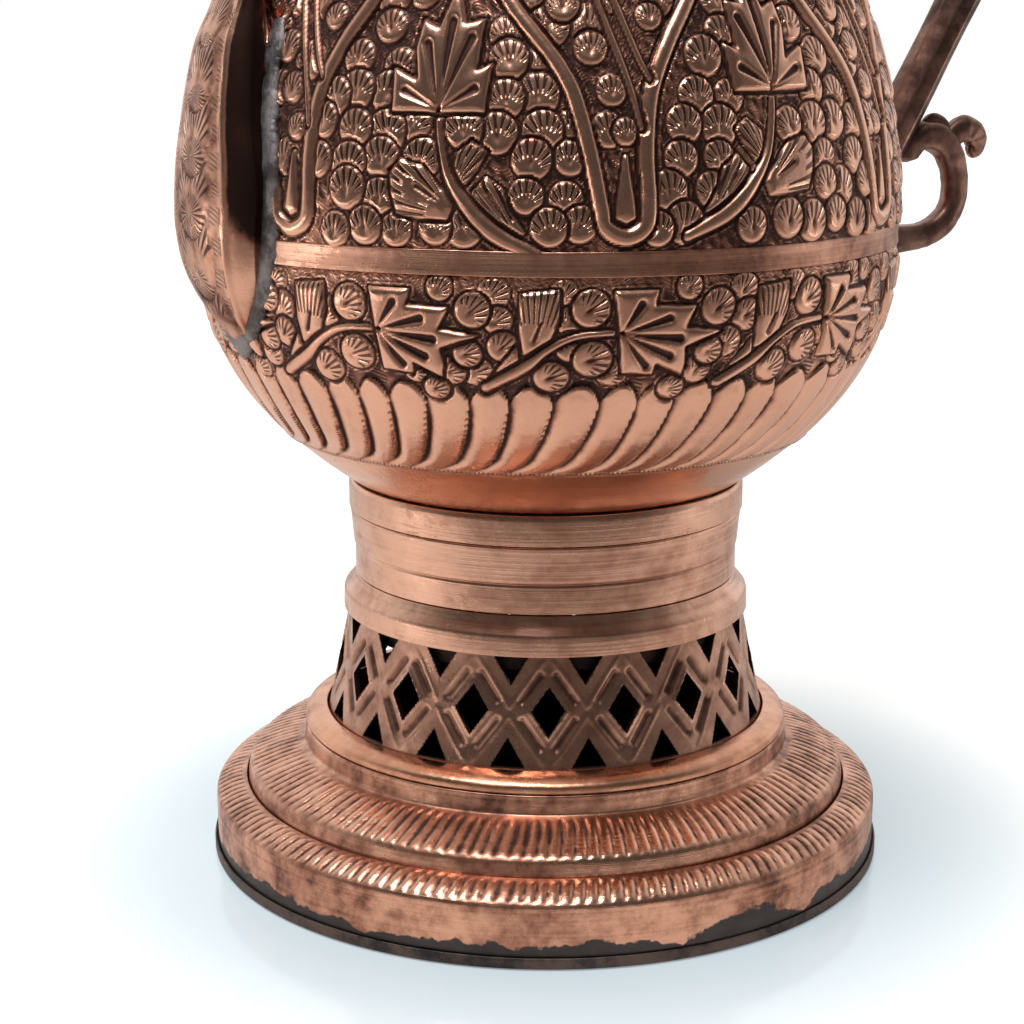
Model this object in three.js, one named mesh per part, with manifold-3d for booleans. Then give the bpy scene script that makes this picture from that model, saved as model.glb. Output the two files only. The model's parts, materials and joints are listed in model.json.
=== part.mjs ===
// A beaten-copper samovar jug: a pierced fire stand, a chased belly around a central fire tube,
// a faceted spout, a barred handle with a scroll, a hinged lid and a lift-off chimney cap.
// Millimetres, +Z up. The origin is the middle of the flat underside of the bottom plate.
// The spout points along -X, and the handle stands almost opposite, turned by HANDLE_TURN.
import * as THREE from 'three';
import { mergeVertices } from 'three/addons/utils/BufferGeometryUtils.js';
import Module from 'manifold-3d';

const wasm = await Module();
wasm.setup();

// ---------------------------------------------------------------- driving dimensions
const SHEET = 1.2; // beaten copper sheet
const GAP = 0.3; // left at every soldered, seated or riveted face
const SIDES = 24; // facets of the large turned pieces
const GALLERY_SIDES = 36; // two facets to each pierced diamond
const SMALL_SIDES = 16; // facets of the tube, sleeve and cap
const CUTTER_SIDES = 60; // facets of the round cutters that saddle a piece onto the body

const FOOT_RADIUS = 95; // outside of the foot's upright band
const PLATE_THICKNESS = 1.2;
const PLATE_LIP_HEIGHT = 3;
const PLATE_LIP_WALL = 0.6;
const FOOT_BAND_HEIGHT = 15;
const OUTER_LEDGE_RISE = 4.1; // lower fluted ledge
const OUTER_LEDGE_WIDTH = 8.7;
const RISER_HEIGHT = 4.3; // smooth step between the two ledges
const INNER_LEDGE_RISE = 5.6; // upper fluted ledge
const COLLAR_BAND_RADIUS = 69; // upright band at the top of the foot
const COLLAR_BAND_HEIGHT = 5.3;
const ROUND_COLLAR_HEIGHT = 4.4; // rolled collar at the gallery's foot
const GALLERY_BOTTOM_RADIUS = 62.4;
const GALLERY_TOP_RADIUS = 56.2;
const GALLERY_HEIGHT = 29;
const GALLERY_DIAMONDS = 18;
const GALLERY_TURN = -2 * Math.PI / 180; // sets a diamond square to the jug's front
const GALLERY_BULGE = 0.4; // the hoop's middle stands this far out of a straight cone
const GALLERY_LAP = 2; // the hoop goes this far up inside the top ring
const DIAMOND_WIDTH = 9.8;
const DIAMOND_HEIGHT = 13.4;
const TRIANGLE_WIDTH = 9.2;
const TRIANGLE_HEIGHT = 7.6;
const TOP_RING_HEIGHT = 10.2;
const TOP_RING_WALL = 0.9;
const TOP_RING_BEAD = 0.55; // share of the ring's height where its upright part ends
const STAND_NECK_RADIUS = 55;
const STAND_NECK_HEIGHT = 18.3;
const STAND_LINE = 0.43; // share of the neck's height where the turned line runs
const SPIGOT_PROUD = 0.1; // the spigot's step out of the neck's inner face
const SPIGOT_HEIGHT = 4.2; // part of the stand's neck that enters the vessel's collar

const VESSEL_COLLAR_HEIGHT = 8.1;
const VESSEL_BOTTOM_RADIUS = 54; // where the belly starts to swell
const BELLY_RADIUS = 95.2;
const BELLY_LOWER_HEIGHT = 71.2; // from the vessel's collar up to the widest place
const BELLY_SWELL = 2.6; // power of the lower belly's curve
const BELLY_BAND_HEIGHT = 5.1;
const BELLY_BAND_DROP = 2; // the band's middle lies this far under the widest place
const BELLY_BAND_DEPTH = 2.8;
const BELLY_BAND_PROUD = 0.2; // the band stands this far out of the belly
const CROWN_HEIGHT = 68; // from the widest place up to the shoulder
const SHOULDER_RADIUS = 79.6;
const SHOULDER_HEIGHT = 60; // from the shoulder up to the neck ring
const NECK_RADIUS = 54;
const NECK_SLOPE = -0.12; // mm of radius lost per mm of height at the neck

const NECK_RING_HEIGHT = 7.4;
const NECK_RING_DEPTH = 5.5;
const CUP_BOTTOM_RADIUS = 51;
const MOUTH_RADIUS = 66;
const CUP_HEIGHT = 30.5;
const CUP_FLARE = 1.8; // power of the cup's curve
const RIM_WIRE = 3.3; // thickness of the rolled rim

const FIRE_TUBE_RADIUS = 24;
const FIRE_TUBE_DROP = 7; // the tube reaches this far under the vessel's floor
const FIRE_TUBE_TOP = 24; // and this far above the mouth's rim
const FLOOR_THICKNESS = 1.5;
const GRATE_THICKNESS = 3;
const GRATE_BARS = 4;
const GRATE_BAR_WIDTH = 2.6;
const SEAT_DEPTH = 2.5;

const LID_FLANGE = 7; // flat rim of the lid, out from the foot of its dome
const LID_DOME_HEIGHT = 27;
const SLEEVE_RADIUS = 27.6;
const SLEEVE_HEIGHT = 14.5; // above the dome's top
const SLEEVE_DIP = 2; // the sleeve dips this far into the dome
const CAP_SKIRT_CLEARANCE = 0.4;
const CAP_SKIRT_DEPTH = 9;
const CAP_FLANGE = 2;
const CAP_DOME_HEIGHT = 16.5;
const FINIAL_HEIGHT = 15;
const FINIAL_RADIUS = 5.4;
const FINIAL_FOOT = 2.4; // height of the finial's spreading foot
const PEG_RADIUS = 2.2;
const KNOB_RADIUS = 4.6;
const KNOB_HEIGHT = 11;
const KNOB_SEAT = 0.55; // share of the dome's height where the knob stands

const HINGE_OFFSET = 4.7; // from the lid's edge out to the hinge axis
const HINGE_BLOCK_DROP = 9; // the block's foot under the cup's top
const HINGE_RIVET_DROP = 5;
const HINGE_BLOCK_FOOT = 1.5; // metal between the cup's flare and the hinge rivets' heads
const KNUCKLE_RADIUS = 3.2;
const KNUCKLE_LENGTH = 7.4;
const PIN_RADIUS = 1.5;
const PIN_CLEARANCE = 0.08;
const LEAF_THICKNESS = 2.2; // of the lid's hinge leaf, above the lid's rim
const LEAF_HALF_WIDTH = 9;
const LID_RIVET_SPREAD = 6;
const RIVET_RADIUS = 1.4;
const RIVET_HEAD_RADIUS = 2.8;
const RIVET_HEAD_HEIGHT = 1.6;

const SPOUT_WALL = 1.2;
const SPOUT_WIDTH = 38; // widest place of the teardrop root
const SPOUT_STAND_OFF = 10.8; // the root's front stands this far out of the belly
const SPOUT_NECK_WIDTH = 20;
const SPOUT_NECK_DEPTH = 9.4;
const SPOUT_LIP_RADIUS = 5.8;
const SPOUT_REACH = 43; // the lip lies this far outside the belly
const SPOUT_ROOT_DEPTH = 20.2;
const SPOUT_ROOT_FULL = 36; // the root is deepest this far above its tip
const SPOUT_NECK_START = 58; // the neck starts this far above the belly's widest place
const SPOUT_NECK_GAP = 1.6; // air between the neck and the body
const SPOUT_LIP_RISE = 30; // the lip above the body's neck
const SPOUT_TIP_DROP = 25; // the root's tip under the belly's widest place
const SPOUT_ROOT_STATIONS = 10; // sections from the root's tip to where the neck stands free
const BORE_RUN_OUT = 6; // a bore's cutter goes this far out of the lip
const STRAINER_RADIUS = 2.4; // holes in the body behind the spout's root
const STRAINER_LENGTH = 20;
const SOLDER_BEAD = 3.4;

const HANDLE_TURN = -8 * Math.PI / 180; // the handle stands 8 degrees off the spout's line
const BAR_RADIUS = 6.4; // corner radius of the octagonal bar
const HANDLE_LEAN = 0.557; // mm outwards per mm of height on the straight stretch
const HANDLE_REACH = 53; // the bar's middle line outside the belly, at most
const HANDLE_FOOT_DROP = 9; // the bar's foot under the belly's widest place
const PALM_THICKNESS = 3;
const PALM_WIDTH = 25;
const PALM_HEIGHT = 40;
const SCROLL_WIDTH = 7.8;
const SCROLL_THICKNESS = 7;
const BRACKET_THICKNESS = 2.6;
const BRACKET_HEIGHT = 14;
const RIVET_EDGE = 0.6; // metal left outside a rivet's head

// ---------------------------------------------------------------- levels that follow from them
const bandBottom = PLATE_THICKNESS + GAP;
const bandTop = bandBottom + FOOT_BAND_HEIGHT;
const ledgeTop = bandTop + OUTER_LEDGE_RISE;
const riserRadius = FOOT_RADIUS - OUTER_LEDGE_WIDTH - GAP;
const riserTop = ledgeTop + RISER_HEIGHT;
const innerLedgeTop = riserTop + INNER_LEDGE_RISE;
const collarBandTop = innerLedgeTop + COLLAR_BAND_HEIGHT;
const roundCollarTop = collarBandTop + GAP + ROUND_COLLAR_HEIGHT;
const galleryTop = roundCollarTop + GALLERY_HEIGHT;
const topRingTop = galleryTop + TOP_RING_HEIGHT;
const neckBottom = topRingTop + GAP;
const neckTop = neckBottom + STAND_NECK_HEIGHT;
const spigotTop = neckTop + SPIGOT_HEIGHT;
const vesselCollarBottom = neckTop + GAP;
const vesselBottom = vesselCollarBottom + VESSEL_COLLAR_HEIGHT + GAP;
const spigotRadius = STAND_NECK_RADIUS - SHEET + SPIGOT_PROUD;
const vesselCollarInner = spigotRadius + GAP;
const bellyLevel = vesselBottom + BELLY_LOWER_HEIGHT;
const shoulderLevel = bellyLevel + CROWN_HEIGHT;
const neckLevel = shoulderLevel + SHOULDER_HEIGHT;
const cupBottom = neckLevel + NECK_RING_HEIGHT + 2 * GAP;
const cupTop = cupBottom + CUP_HEIGHT;
const rimBottom = cupTop + GAP;
const rimTop = rimBottom + RIM_WIRE;
const lidBottom = rimTop + GAP;
const lidRadius = MOUTH_RADIUS + RIM_WIRE / 2;
const domeRadius = lidRadius - LID_FLANGE;
const domeBottom = lidBottom + SHEET;
const domeHole = SLEEVE_RADIUS + GAP;
const domeTop = domeBottom + LID_DOME_HEIGHT;
const sleeveTop = domeTop + SLEEVE_HEIGHT;
const capBottom = sleeveTop + CAP_SKIRT_CLEARANCE;
const capTop = capBottom + SHEET + CAP_DOME_HEIGHT;
const fireTubeTop = rimTop + FIRE_TUBE_TOP;
const floorTop = vesselBottom - GAP;
const floorBottom = floorTop - FLOOR_THICKNESS;
const fireTubeBottom = floorBottom - FIRE_TUBE_DROP;
const fireTubeInner = FIRE_TUBE_RADIUS - SHEET;
const hingeRadius = lidRadius + HINGE_OFFSET;
const hingeLevel = lidBottom + SHEET;
const bandMiddle = bellyLevel - BELLY_BAND_DROP;
const bracketRivetSpread = BAR_RADIUS + RIVET_HEAD_RADIUS + GAP;
const bracketHalf = bracketRivetSpread + RIVET_HEAD_RADIUS + RIVET_EDGE;
const hingeBlockBottom = cupTop - HINGE_BLOCK_DROP;
const hingeRivetLevel = cupTop - HINGE_RIVET_DROP;

// ---------------------------------------------------------------- finishes
function metal(color, roughness) {
  return new THREE.MeshStandardMaterial({ color, roughness, metalness: 1 });
}
const chasedCopper = metal(0xa06a50, 0.36);
const smoothCopper = metal(0xb98263, 0.3);
const castCopper = metal(0x8a5a45, 0.4);
const tinSolder = metal(0x77777c, 0.45);
const iron = metal(0x3a3836, 0.7);

// ---------------------------------------------------------------- geometry helpers
// One index list without doubled corners or empty triangles, faces pointing out.
function closed(geometry) {
  const bare = geometry.clone();
  bare.deleteAttribute('normal');
  bare.deleteAttribute('uv');
  const merged = mergeVertices(bare, 1e-4);
  const at = merged.getAttribute('position');
  const [a, b, c] = [new THREE.Vector3(), new THREE.Vector3(), new THREE.Vector3()];
  const index = merged.getIndex().array;
  const kept = [];
  let volume = 0;
  for (let i = 0; i < index.length; i += 3) {
    const [p, q, r] = [index[i], index[i + 1], index[i + 2]];
    if (p === q || q === r || r === p) continue;
    kept.push(p, q, r);
    volume += a.fromBufferAttribute(at, p)
      .dot(b.fromBufferAttribute(at, q).cross(c.fromBufferAttribute(at, r)));
  }
  if (volume < 0) kept.reverse();
  merged.setIndex(kept);
  return merged;
}

function solid(geometry) {
  const clean = closed(geometry);
  return new wasm.Manifold(new wasm.Mesh({
    numProp: 3,
    vertProperties: new Float32Array(clean.getAttribute('position').array),
    triVerts: new Uint32Array(clean.getIndex().array),
  }));
}

function fromSolid(manifold) {
  const mesh = manifold.getMesh();
  const geometry = new THREE.BufferGeometry();
  geometry.setAttribute('position', new THREE.BufferAttribute(mesh.vertProperties, 3));
  geometry.setIndex(new THREE.BufferAttribute(mesh.triVerts, 1));
  return geometry;
}

function cut(geometry, ...cutters) {
  return fromSolid(cutters.reduce((whole, cutter) => whole.subtract(solid(cutter)), solid(geometry)));
}

function join(geometry, ...others) {
  return fromSolid(others.reduce((whole, other) => whole.add(solid(other)), solid(geometry)));
}

function common(geometry, other) {
  return fromSolid(solid(geometry).intersect(solid(other)));
}

// Turns a profile of [radius, height] points about the Z axis.
function turned(profile, sides = SIDES) {
  const points = profile.map(([radius, height]) => new THREE.Vector2(radius, height));
  return closed(new THREE.LatheGeometry(points, sides).rotateX(Math.PI / 2));
}

function ring(profile, sides = SIDES) {
  return turned([...profile, profile[0]], sides);
}

// A profile moved towards the axis by `wall`, measured square to it. Its two ends stay level.
function inset(profile, wall) {
  return profile.map(([radius, height], i) => {
    const before = profile[Math.max(i - 1, 0)];
    const after = profile[Math.min(i + 1, profile.length - 1)];
    const run = [after[0] - before[0], after[1] - before[1]];
    const length = Math.hypot(...run);
    if (before === profile[i] || after === profile[i]) return [radius - wall * length / run[1], height];
    return [radius - wall * run[1] / length, height + wall * run[0] / length];
  });
}

// A turned sheet: the profile runs upwards on the outside.
function shell(profile, wall = SHEET, sides = SIDES) {
  return ring([...profile, ...inset(profile, wall).reverse()], sides);
}

function steps(count, place) {
  return Array.from({ length: count + 1 }, (_, i) => place(i / count));
}

// A polygon drawn in X and Z, `depth` thick and centred on Y = 0.
function slab(points, depth) {
  const shape = new THREE.Shape(points.map(([x, z]) => new THREE.Vector2(x, z)));
  return new THREE.ExtrudeGeometry(shape, { depth, bevelEnabled: false })
    .translate(0, 0, -depth / 2).rotateX(Math.PI / 2);
}

// A polygon drawn in Y and Z, pushed outwards along +X from `start` to `end`.
function radialPlug(points, start, end) {
  const shape = new THREE.Shape(points.map(([y, z]) => new THREE.Vector2(y, z)));
  const plug = new THREE.ExtrudeGeometry(shape, { depth: end - start, bevelEnabled: false });
  const axes = new THREE.Matrix4().makeBasis(
    new THREE.Vector3(0, 1, 0), new THREE.Vector3(0, 0, 1), new THREE.Vector3(1, 0, 0));
  return plug.applyMatrix4(axes).translate(start, 0, 0);
}

function box(low, high) {
  const size = high.map((value, i) => value - low[i]);
  return new THREE.BoxGeometry(...size)
    .translate(...low.map((value, i) => value + size[i] / 2));
}

function rod(radius, length, sides = 12) {
  return new THREE.CylinderGeometry(radius, radius, length, sides);
}

// A bar of a regular or stretched polygon section along a curve in the XZ plane.
function bar(points, halfWidth, halfThickness, sides, count) {
  const curve = new THREE.CatmullRomCurve3(points.map(([x, z]) => new THREE.Vector3(x, 0, z)));
  const section = new THREE.Shape(steps(sides - 1, (t) => {
    const angle = (t * (sides - 1) + 0.5) * 2 * Math.PI / sides;
    return new THREE.Vector2(halfWidth * Math.cos(angle), halfThickness * Math.sin(angle));
  }));
  return new THREE.ExtrudeGeometry(section, { steps: count, bevelEnabled: false, extrudePath: curve });
}

// ---------------------------------------------------------------- the vessel's outline
function bodyRadius(z) {
  if (z <= bellyLevel) {
    const t = Math.max(0, (z - vesselBottom) / BELLY_LOWER_HEIGHT);
    const swell = 1 - (1 - t) ** BELLY_SWELL;
    return VESSEL_BOTTOM_RADIUS + (BELLY_RADIUS - VESSEL_BOTTOM_RADIUS) * swell;
  }
  const drop = BELLY_RADIUS - SHOULDER_RADIUS;
  if (z <= shoulderLevel) return BELLY_RADIUS - drop * ((z - bellyLevel) / CROWN_HEIGHT) ** 2;
  const u = Math.min(1, (z - shoulderLevel) / SHOULDER_HEIGHT);
  const startSlope = -2 * drop / CROWN_HEIGHT * SHOULDER_HEIGHT;
  const endSlope = NECK_SLOPE * SHOULDER_HEIGHT;
  return SHOULDER_RADIUS * (2 * u ** 3 - 3 * u ** 2 + 1) + startSlope * (u ** 3 - 2 * u ** 2 + u)
    + NECK_RADIUS * (3 * u ** 2 - 2 * u ** 3) + endSlope * (u ** 3 - u ** 2);
}

function cupRadius(z) {
  const u = Math.min(1, Math.max(0, (z - cupBottom) / CUP_HEIGHT));
  return CUP_BOTTOM_RADIUS + (MOUTH_RADIUS - CUP_BOTTOM_RADIUS) * u ** CUP_FLARE;
}

function cupOutline(extra) {
  return steps(6, (t) => {
    const z = cupBottom + t * CUP_HEIGHT;
    return [cupRadius(z) + extra, z];
  });
}

// The filled vessel, grown by `extra`, that saddles the spout and the handle onto the body.
function bodyCutter(extra) {
  const outline = steps(26, (t) => {
    const z = vesselBottom + t * (neckLevel - vesselBottom);
    return [bodyRadius(z) + extra, z];
  });
  return turned([[0, vesselBottom], ...outline, [0, neckLevel]], CUTTER_SIDES);
}

function cupCutter(extra) {
  const outline = cupOutline(extra);
  const rim = [[lidRadius + extra, rimBottom - extra], [lidRadius + extra, rimTop + GAP + extra]];
  return turned([[0, cupBottom], ...outline, ...rim, [0, rimTop + GAP + extra]], CUTTER_SIDES);
}

// ---------------------------------------------------------------- the stand
function bottomPlate() {
  const outer = FOOT_RADIUS + GAP + PLATE_LIP_WALL;
  return turned([
    [0, 0], [outer, 0], [outer, PLATE_LIP_HEIGHT], [outer - PLATE_LIP_WALL, PLATE_LIP_HEIGHT],
    [outer - PLATE_LIP_WALL, PLATE_THICKNESS], [0, PLATE_THICKNESS],
  ]);
}

function footLowerTier() {
  const inner = FOOT_RADIUS - OUTER_LEDGE_WIDTH;
  return ring([
    [FOOT_RADIUS, bandBottom], [FOOT_RADIUS, bandTop],
    [inner + OUTER_LEDGE_WIDTH / 2, bandTop + 0.6 * OUTER_LEDGE_RISE], [inner, ledgeTop],
    [inner, ledgeTop - SHEET], [FOOT_RADIUS - SHEET, bandTop - SHEET / 2],
    [FOOT_RADIUS - SHEET, bandBottom],
  ]);
}

function footUpperTier() {
  const riserBottom = ledgeTop - 2 * SHEET;
  const top = riserRadius - SHEET;
  return ring([
    [riserRadius, riserBottom], [top, riserTop],
    [(top + COLLAR_BAND_RADIUS) / 2, riserTop + 0.6 * INNER_LEDGE_RISE],
    [COLLAR_BAND_RADIUS, innerLedgeTop], [COLLAR_BAND_RADIUS, collarBandTop],
    [COLLAR_BAND_RADIUS - SHEET, collarBandTop], [COLLAR_BAND_RADIUS - SHEET, innerLedgeTop - SHEET],
    [top - SHEET, riserTop - SHEET], [riserRadius - SHEET, riserBottom],
  ]);
}

function galleryCollar() {
  const bottom = collarBandTop + GAP;
  const inner = GALLERY_BOTTOM_RADIUS + GAP;
  const reach = COLLAR_BAND_RADIUS - inner;
  const outline = steps(3, (t) => [
    inner + reach * Math.cos(t * Math.PI / 2), bottom + ROUND_COLLAR_HEIGHT * Math.sin(t * Math.PI / 2),
  ]);
  return ring([...outline, [inner, roundCollarTop - SHEET], [COLLAR_BAND_RADIUS - SHEET, bottom]],
    GALLERY_SIDES);
}

// Diamonds all round at half height, with a triangle above and below each strap crossing.
function galleryHoles() {
  const middle = (roundCollarTop + galleryTop) / 2;
  const diamond = [
    [DIAMOND_WIDTH / 2, middle], [0, middle + DIAMOND_HEIGHT / 2],
    [-DIAMOND_WIDTH / 2, middle], [0, middle - DIAMOND_HEIGHT / 2],
  ];
  const upper = [
    [TRIANGLE_WIDTH / 2, galleryTop - GAP], [-TRIANGLE_WIDTH / 2, galleryTop - GAP],
    [0, galleryTop - GAP - TRIANGLE_HEIGHT],
  ];
  const lower = [
    [-TRIANGLE_WIDTH / 2, roundCollarTop + GAP], [TRIANGLE_WIDTH / 2, roundCollarTop + GAP],
    [0, roundCollarTop + GAP + TRIANGLE_HEIGHT],
  ];
  const pitch = 2 * Math.PI / GALLERY_DIAMONDS;
  const start = GALLERY_TOP_RADIUS / 2;
  const end = GALLERY_BOTTOM_RADIUS + DIAMOND_WIDTH;
  return Array.from({ length: GALLERY_DIAMONDS }, (_, i) => [
    radialPlug(diamond, start, end).rotateZ(i * pitch + GALLERY_TURN),
    radialPlug(upper, start, end).rotateZ((i + 0.5) * pitch + GALLERY_TURN),
    radialPlug(lower, start, end).rotateZ((i + 0.5) * pitch + GALLERY_TURN),
  ]).flat();
}

function piercedGallery() {
  const bottom = roundCollarTop - SHEET;
  const top = galleryTop + GALLERY_LAP;
  const waist = (GALLERY_BOTTOM_RADIUS + 2 * GALLERY_TOP_RADIUS) / 3 + GALLERY_BULGE;
  const outline = [
    [GALLERY_BOTTOM_RADIUS, bottom], [waist, bottom + 0.5 * (top - bottom)],
    [GALLERY_TOP_RADIUS, galleryTop - GAP], [GALLERY_TOP_RADIUS, top],
  ];
  return cut(shell(outline, SHEET, GALLERY_SIDES), ...galleryHoles());
}

function galleryTopRing() {
  const inner = GALLERY_TOP_RADIUS + GAP;
  const outer = inner + TOP_RING_WALL;
  const beadTop = galleryTop + TOP_RING_BEAD * TOP_RING_HEIGHT;
  const grooveRadius = STAND_NECK_RADIUS - SHEET;
  return ring([
    [outer, galleryTop], [outer, beadTop], [(outer + grooveRadius) / 2, topRingTop - SHEET],
    [grooveRadius, topRingTop], [grooveRadius - SHEET, topRingTop],
    [grooveRadius - SHEET, topRingTop - SHEET], [inner, beadTop], [inner, galleryTop],
  ], GALLERY_SIDES);
}

function standNeck() {
  const groove = STAND_NECK_RADIUS - SHEET;
  const lineLevel = neckBottom + STAND_LINE * STAND_NECK_HEIGHT;
  return ring([
    [groove, neckBottom], [groove, lineLevel], [STAND_NECK_RADIUS, neckTop],
    [spigotRadius, neckTop], [spigotRadius, spigotTop], [spigotRadius - SHEET, spigotTop],
    [groove - SHEET, lineLevel], [groove - SHEET, neckBottom],
  ]);
}

// ---------------------------------------------------------------- the vessel
function vesselCollar() {
  const bottom = vesselCollarBottom;
  const top = vesselBottom - GAP;
  return ring([
    [vesselCollarInner + SHEET, bottom], [vesselCollarInner + SHEET, top - SHEET],
    [vesselCollarInner + SHEET / 2, top], [vesselCollarInner, top], [vesselCollarInner, bottom],
  ]);
}

function lowerBelly() {
  const top = bandMiddle - BELLY_BAND_HEIGHT / 2 - GAP;
  return shell(steps(7, (t) => {
    const z = vesselBottom + (top - vesselBottom) * t ** 1.6;
    return [bodyRadius(z), z];
  }));
}

function bellyBand() {
  const half = BELLY_BAND_HEIGHT / 2;
  const outer = BELLY_RADIUS + BELLY_BAND_PROUD;
  return ring([
    [outer, bandMiddle - half], [outer, bandMiddle + half],
    [outer - BELLY_BAND_DEPTH, bandMiddle + half], [outer - BELLY_BAND_DEPTH, bandMiddle - half],
  ]);
}

// Four strainer holes let the water into the spout's root.
function strainerHoles() {
  const pitch = SPOUT_WIDTH / 4;
  const places = [[0, 6], [-pitch / 2, 14], [pitch / 2, 14], [0, 22]];
  return places.map(([y, rise]) => rod(STRAINER_RADIUS, STRAINER_LENGTH, 8).rotateZ(Math.PI / 2)
    .translate(-BELLY_RADIUS, y, bellyLevel + rise));
}

function upperBody() {
  const bottom = bandMiddle + BELLY_BAND_HEIGHT / 2 + GAP;
  const skin = shell(steps(9, (t) => {
    const z = bottom + (neckLevel - bottom) * t;
    return [bodyRadius(z), z];
  }));
  return cut(skin, ...strainerHoles());
}

function vesselFloor() {
  const outer = vesselCollarInner - GAP;
  const inner = FIRE_TUBE_RADIUS + GAP;
  return ring([[outer, floorBottom], [outer, floorTop], [inner, floorTop], [inner, floorBottom]]);
}

function fireTube() {
  return ring([
    [FIRE_TUBE_RADIUS, fireTubeBottom], [FIRE_TUBE_RADIUS, fireTubeTop],
    [fireTubeInner, fireTubeTop], [fireTubeInner, fireTubeBottom],
  ], SMALL_SIDES);
}

function grateSeat() {
  const outer = fireTubeInner - GAP;
  const top = fireTubeBottom + SEAT_DEPTH;
  return ring([
    [outer, fireTubeBottom], [outer, top], [outer - SEAT_DEPTH, top],
    [outer - SEAT_DEPTH, fireTubeBottom],
  ], SMALL_SIDES);
}

function fireGrate() {
  const outer = fireTubeInner - GAP;
  const bottom = fireTubeBottom + SEAT_DEPTH + GAP;
  const top = bottom + GRATE_THICKNESS;
  const inner = outer - SEAT_DEPTH;
  const hoop = ring([[outer, bottom], [outer, top], [inner, top], [inner, bottom]], SMALL_SIDES);
  const reach = inner + SEAT_DEPTH / 2;
  const bars = Array.from({ length: GRATE_BARS }, (_, i) => {
    const y = inner * ((2 * i + 1) / GRATE_BARS - 1);
    const half = Math.sqrt(reach ** 2 - y ** 2);
    return box([-half, y - GRATE_BAR_WIDTH / 2, bottom + GAP], [half, y + GRATE_BAR_WIDTH / 2, top - GAP]);
  });
  return join(hoop, ...bars);
}

function neckRing() {
  const bottom = neckLevel + GAP;
  const top = bottom + NECK_RING_HEIGHT;
  const middle = (bottom + top) / 2;
  const inner = CUP_BOTTOM_RADIUS - SHEET;
  const outer = inner + NECK_RING_DEPTH;
  return ring([
    [outer - SHEET, bottom], [outer + SHEET / 2, middle], [outer - SHEET, top],
    [inner, top], [inner, bottom],
  ]);
}

// ---------------------------------------------------------------- mouth and lid
function rivetHoles(place) {
  return [-1, 1].map((side) => place(rod(RIVET_RADIUS + GAP, 16, 8), side));
}

function bracketRivetPlace(piece, side) {
  const z = cupBottom + BRACKET_HEIGHT / 2 + SHEET;
  return piece.rotateZ(-Math.PI / 2).translate(cupRadius(z), side * bracketRivetSpread, z);
}

function hingeRivetPlace(piece, side) {
  return piece.rotateZ(-Math.PI / 2)
    .translate(cupRadius(hingeRivetLevel), side * KNUCKLE_LENGTH, hingeRivetLevel);
}

// The hinge block's sloping outer face.
function hingeFace(z) {
  const bottom = cupRadius(hingeRivetLevel + RIVET_HEAD_RADIUS) + HINGE_BLOCK_FOOT;
  const top = hingeRadius + KNUCKLE_RADIUS * 0.7;
  return bottom + (top - bottom) * (z - hingeBlockBottom) / (cupTop - hingeBlockBottom);
}

const hingeRivetSeat = hingeFace(hingeRivetLevel - RIVET_HEAD_RADIUS) - cupRadius(hingeRivetLevel);

function lidRivetPlace(piece, side) {
  return piece.rotateX(Math.PI / 2).translate(domeRadius + LID_FLANGE / 2, side * LID_RIVET_SPREAD, lidBottom);
}

function mouthCup() {
  const cup = shell(cupOutline(0));
  const holes = [...rivetHoles(bracketRivetPlace), ...rivetHoles(hingeRivetPlace)];
  return cut(cup, ...holes.map((hole) => hole.rotateZ(HANDLE_TURN)));
}

function mouthRim() {
  const half = RIM_WIRE / 2;
  return ring(steps(7, (t) => {
    const angle = (t * 7 / 8 + 1 / 16) * 2 * Math.PI;
    return [MOUTH_RADIUS - half / 2 + half * Math.cos(angle), rimBottom + half + half * Math.sin(angle)];
  }).slice(0, 8));
}

function domePoint(t) {
  return [
    domeHole + (domeRadius - domeHole) * Math.cos(t * Math.PI / 2),
    domeBottom + LID_DOME_HEIGHT * Math.sin(t * Math.PI / 2),
  ];
}

function lid() {
  const outside = [[lidRadius, lidBottom], [lidRadius, domeBottom], ...steps(5, domePoint)];
  const inside = steps(5, (t) => {
    const [radius, height] = domePoint(t);
    return [Math.max(domeHole, radius - SHEET * Math.cos(t * Math.PI / 2)),
      height - SHEET * (1 - 0.4 * Math.cos(t * Math.PI / 2))];
  }).reverse();
  inside[inside.length - 1] = [domeRadius - SHEET, lidBottom];
  const holes = rivetHoles(lidRivetPlace);
  return cut(ring([...outside, ...inside]), ...holes.map((hole) => hole.rotateZ(HANDLE_TURN)));
}

function lidCutter(extra) {
  const top = domeTop + extra;
  const outline = steps(8, domePoint).map(([radius, height]) => [radius + extra, height]);
  return turned([
    [0, lidBottom - extra], [lidRadius + extra, lidBottom - extra], [lidRadius + extra, domeBottom + extra],
    [domeRadius + extra, domeBottom + extra], ...outline.slice(1), [domeHole, top], [0, top],
  ], CUTTER_SIDES);
}

function lidSleeve() {
  const inner = SLEEVE_RADIUS - SHEET;
  const bottom = domeTop - SHEET - SLEEVE_DIP;
  return ring([
    [SLEEVE_RADIUS, bottom], [SLEEVE_RADIUS, sleeveTop], [inner, sleeveTop], [inner, bottom],
  ], SMALL_SIDES);
}

function lidKnob() {
  const foot = domeRadius - LID_FLANGE;
  const base = domeBottom + KNOB_RADIUS;
  const top = domeBottom + LID_DOME_HEIGHT * KNOB_SEAT + KNOB_HEIGHT;
  const knob = turned([
    [0, base], [KNOB_RADIUS * 0.6, base], [KNOB_RADIUS * 0.45, top - 1.5 * KNOB_RADIUS],
    [KNOB_RADIUS, top - KNOB_RADIUS], [KNOB_RADIUS * 0.8, top - KNOB_RADIUS * 0.35], [0, top],
  ], 10);
  return cut(knob.translate(-foot, 0, 0), lidCutter(GAP));
}

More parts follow.
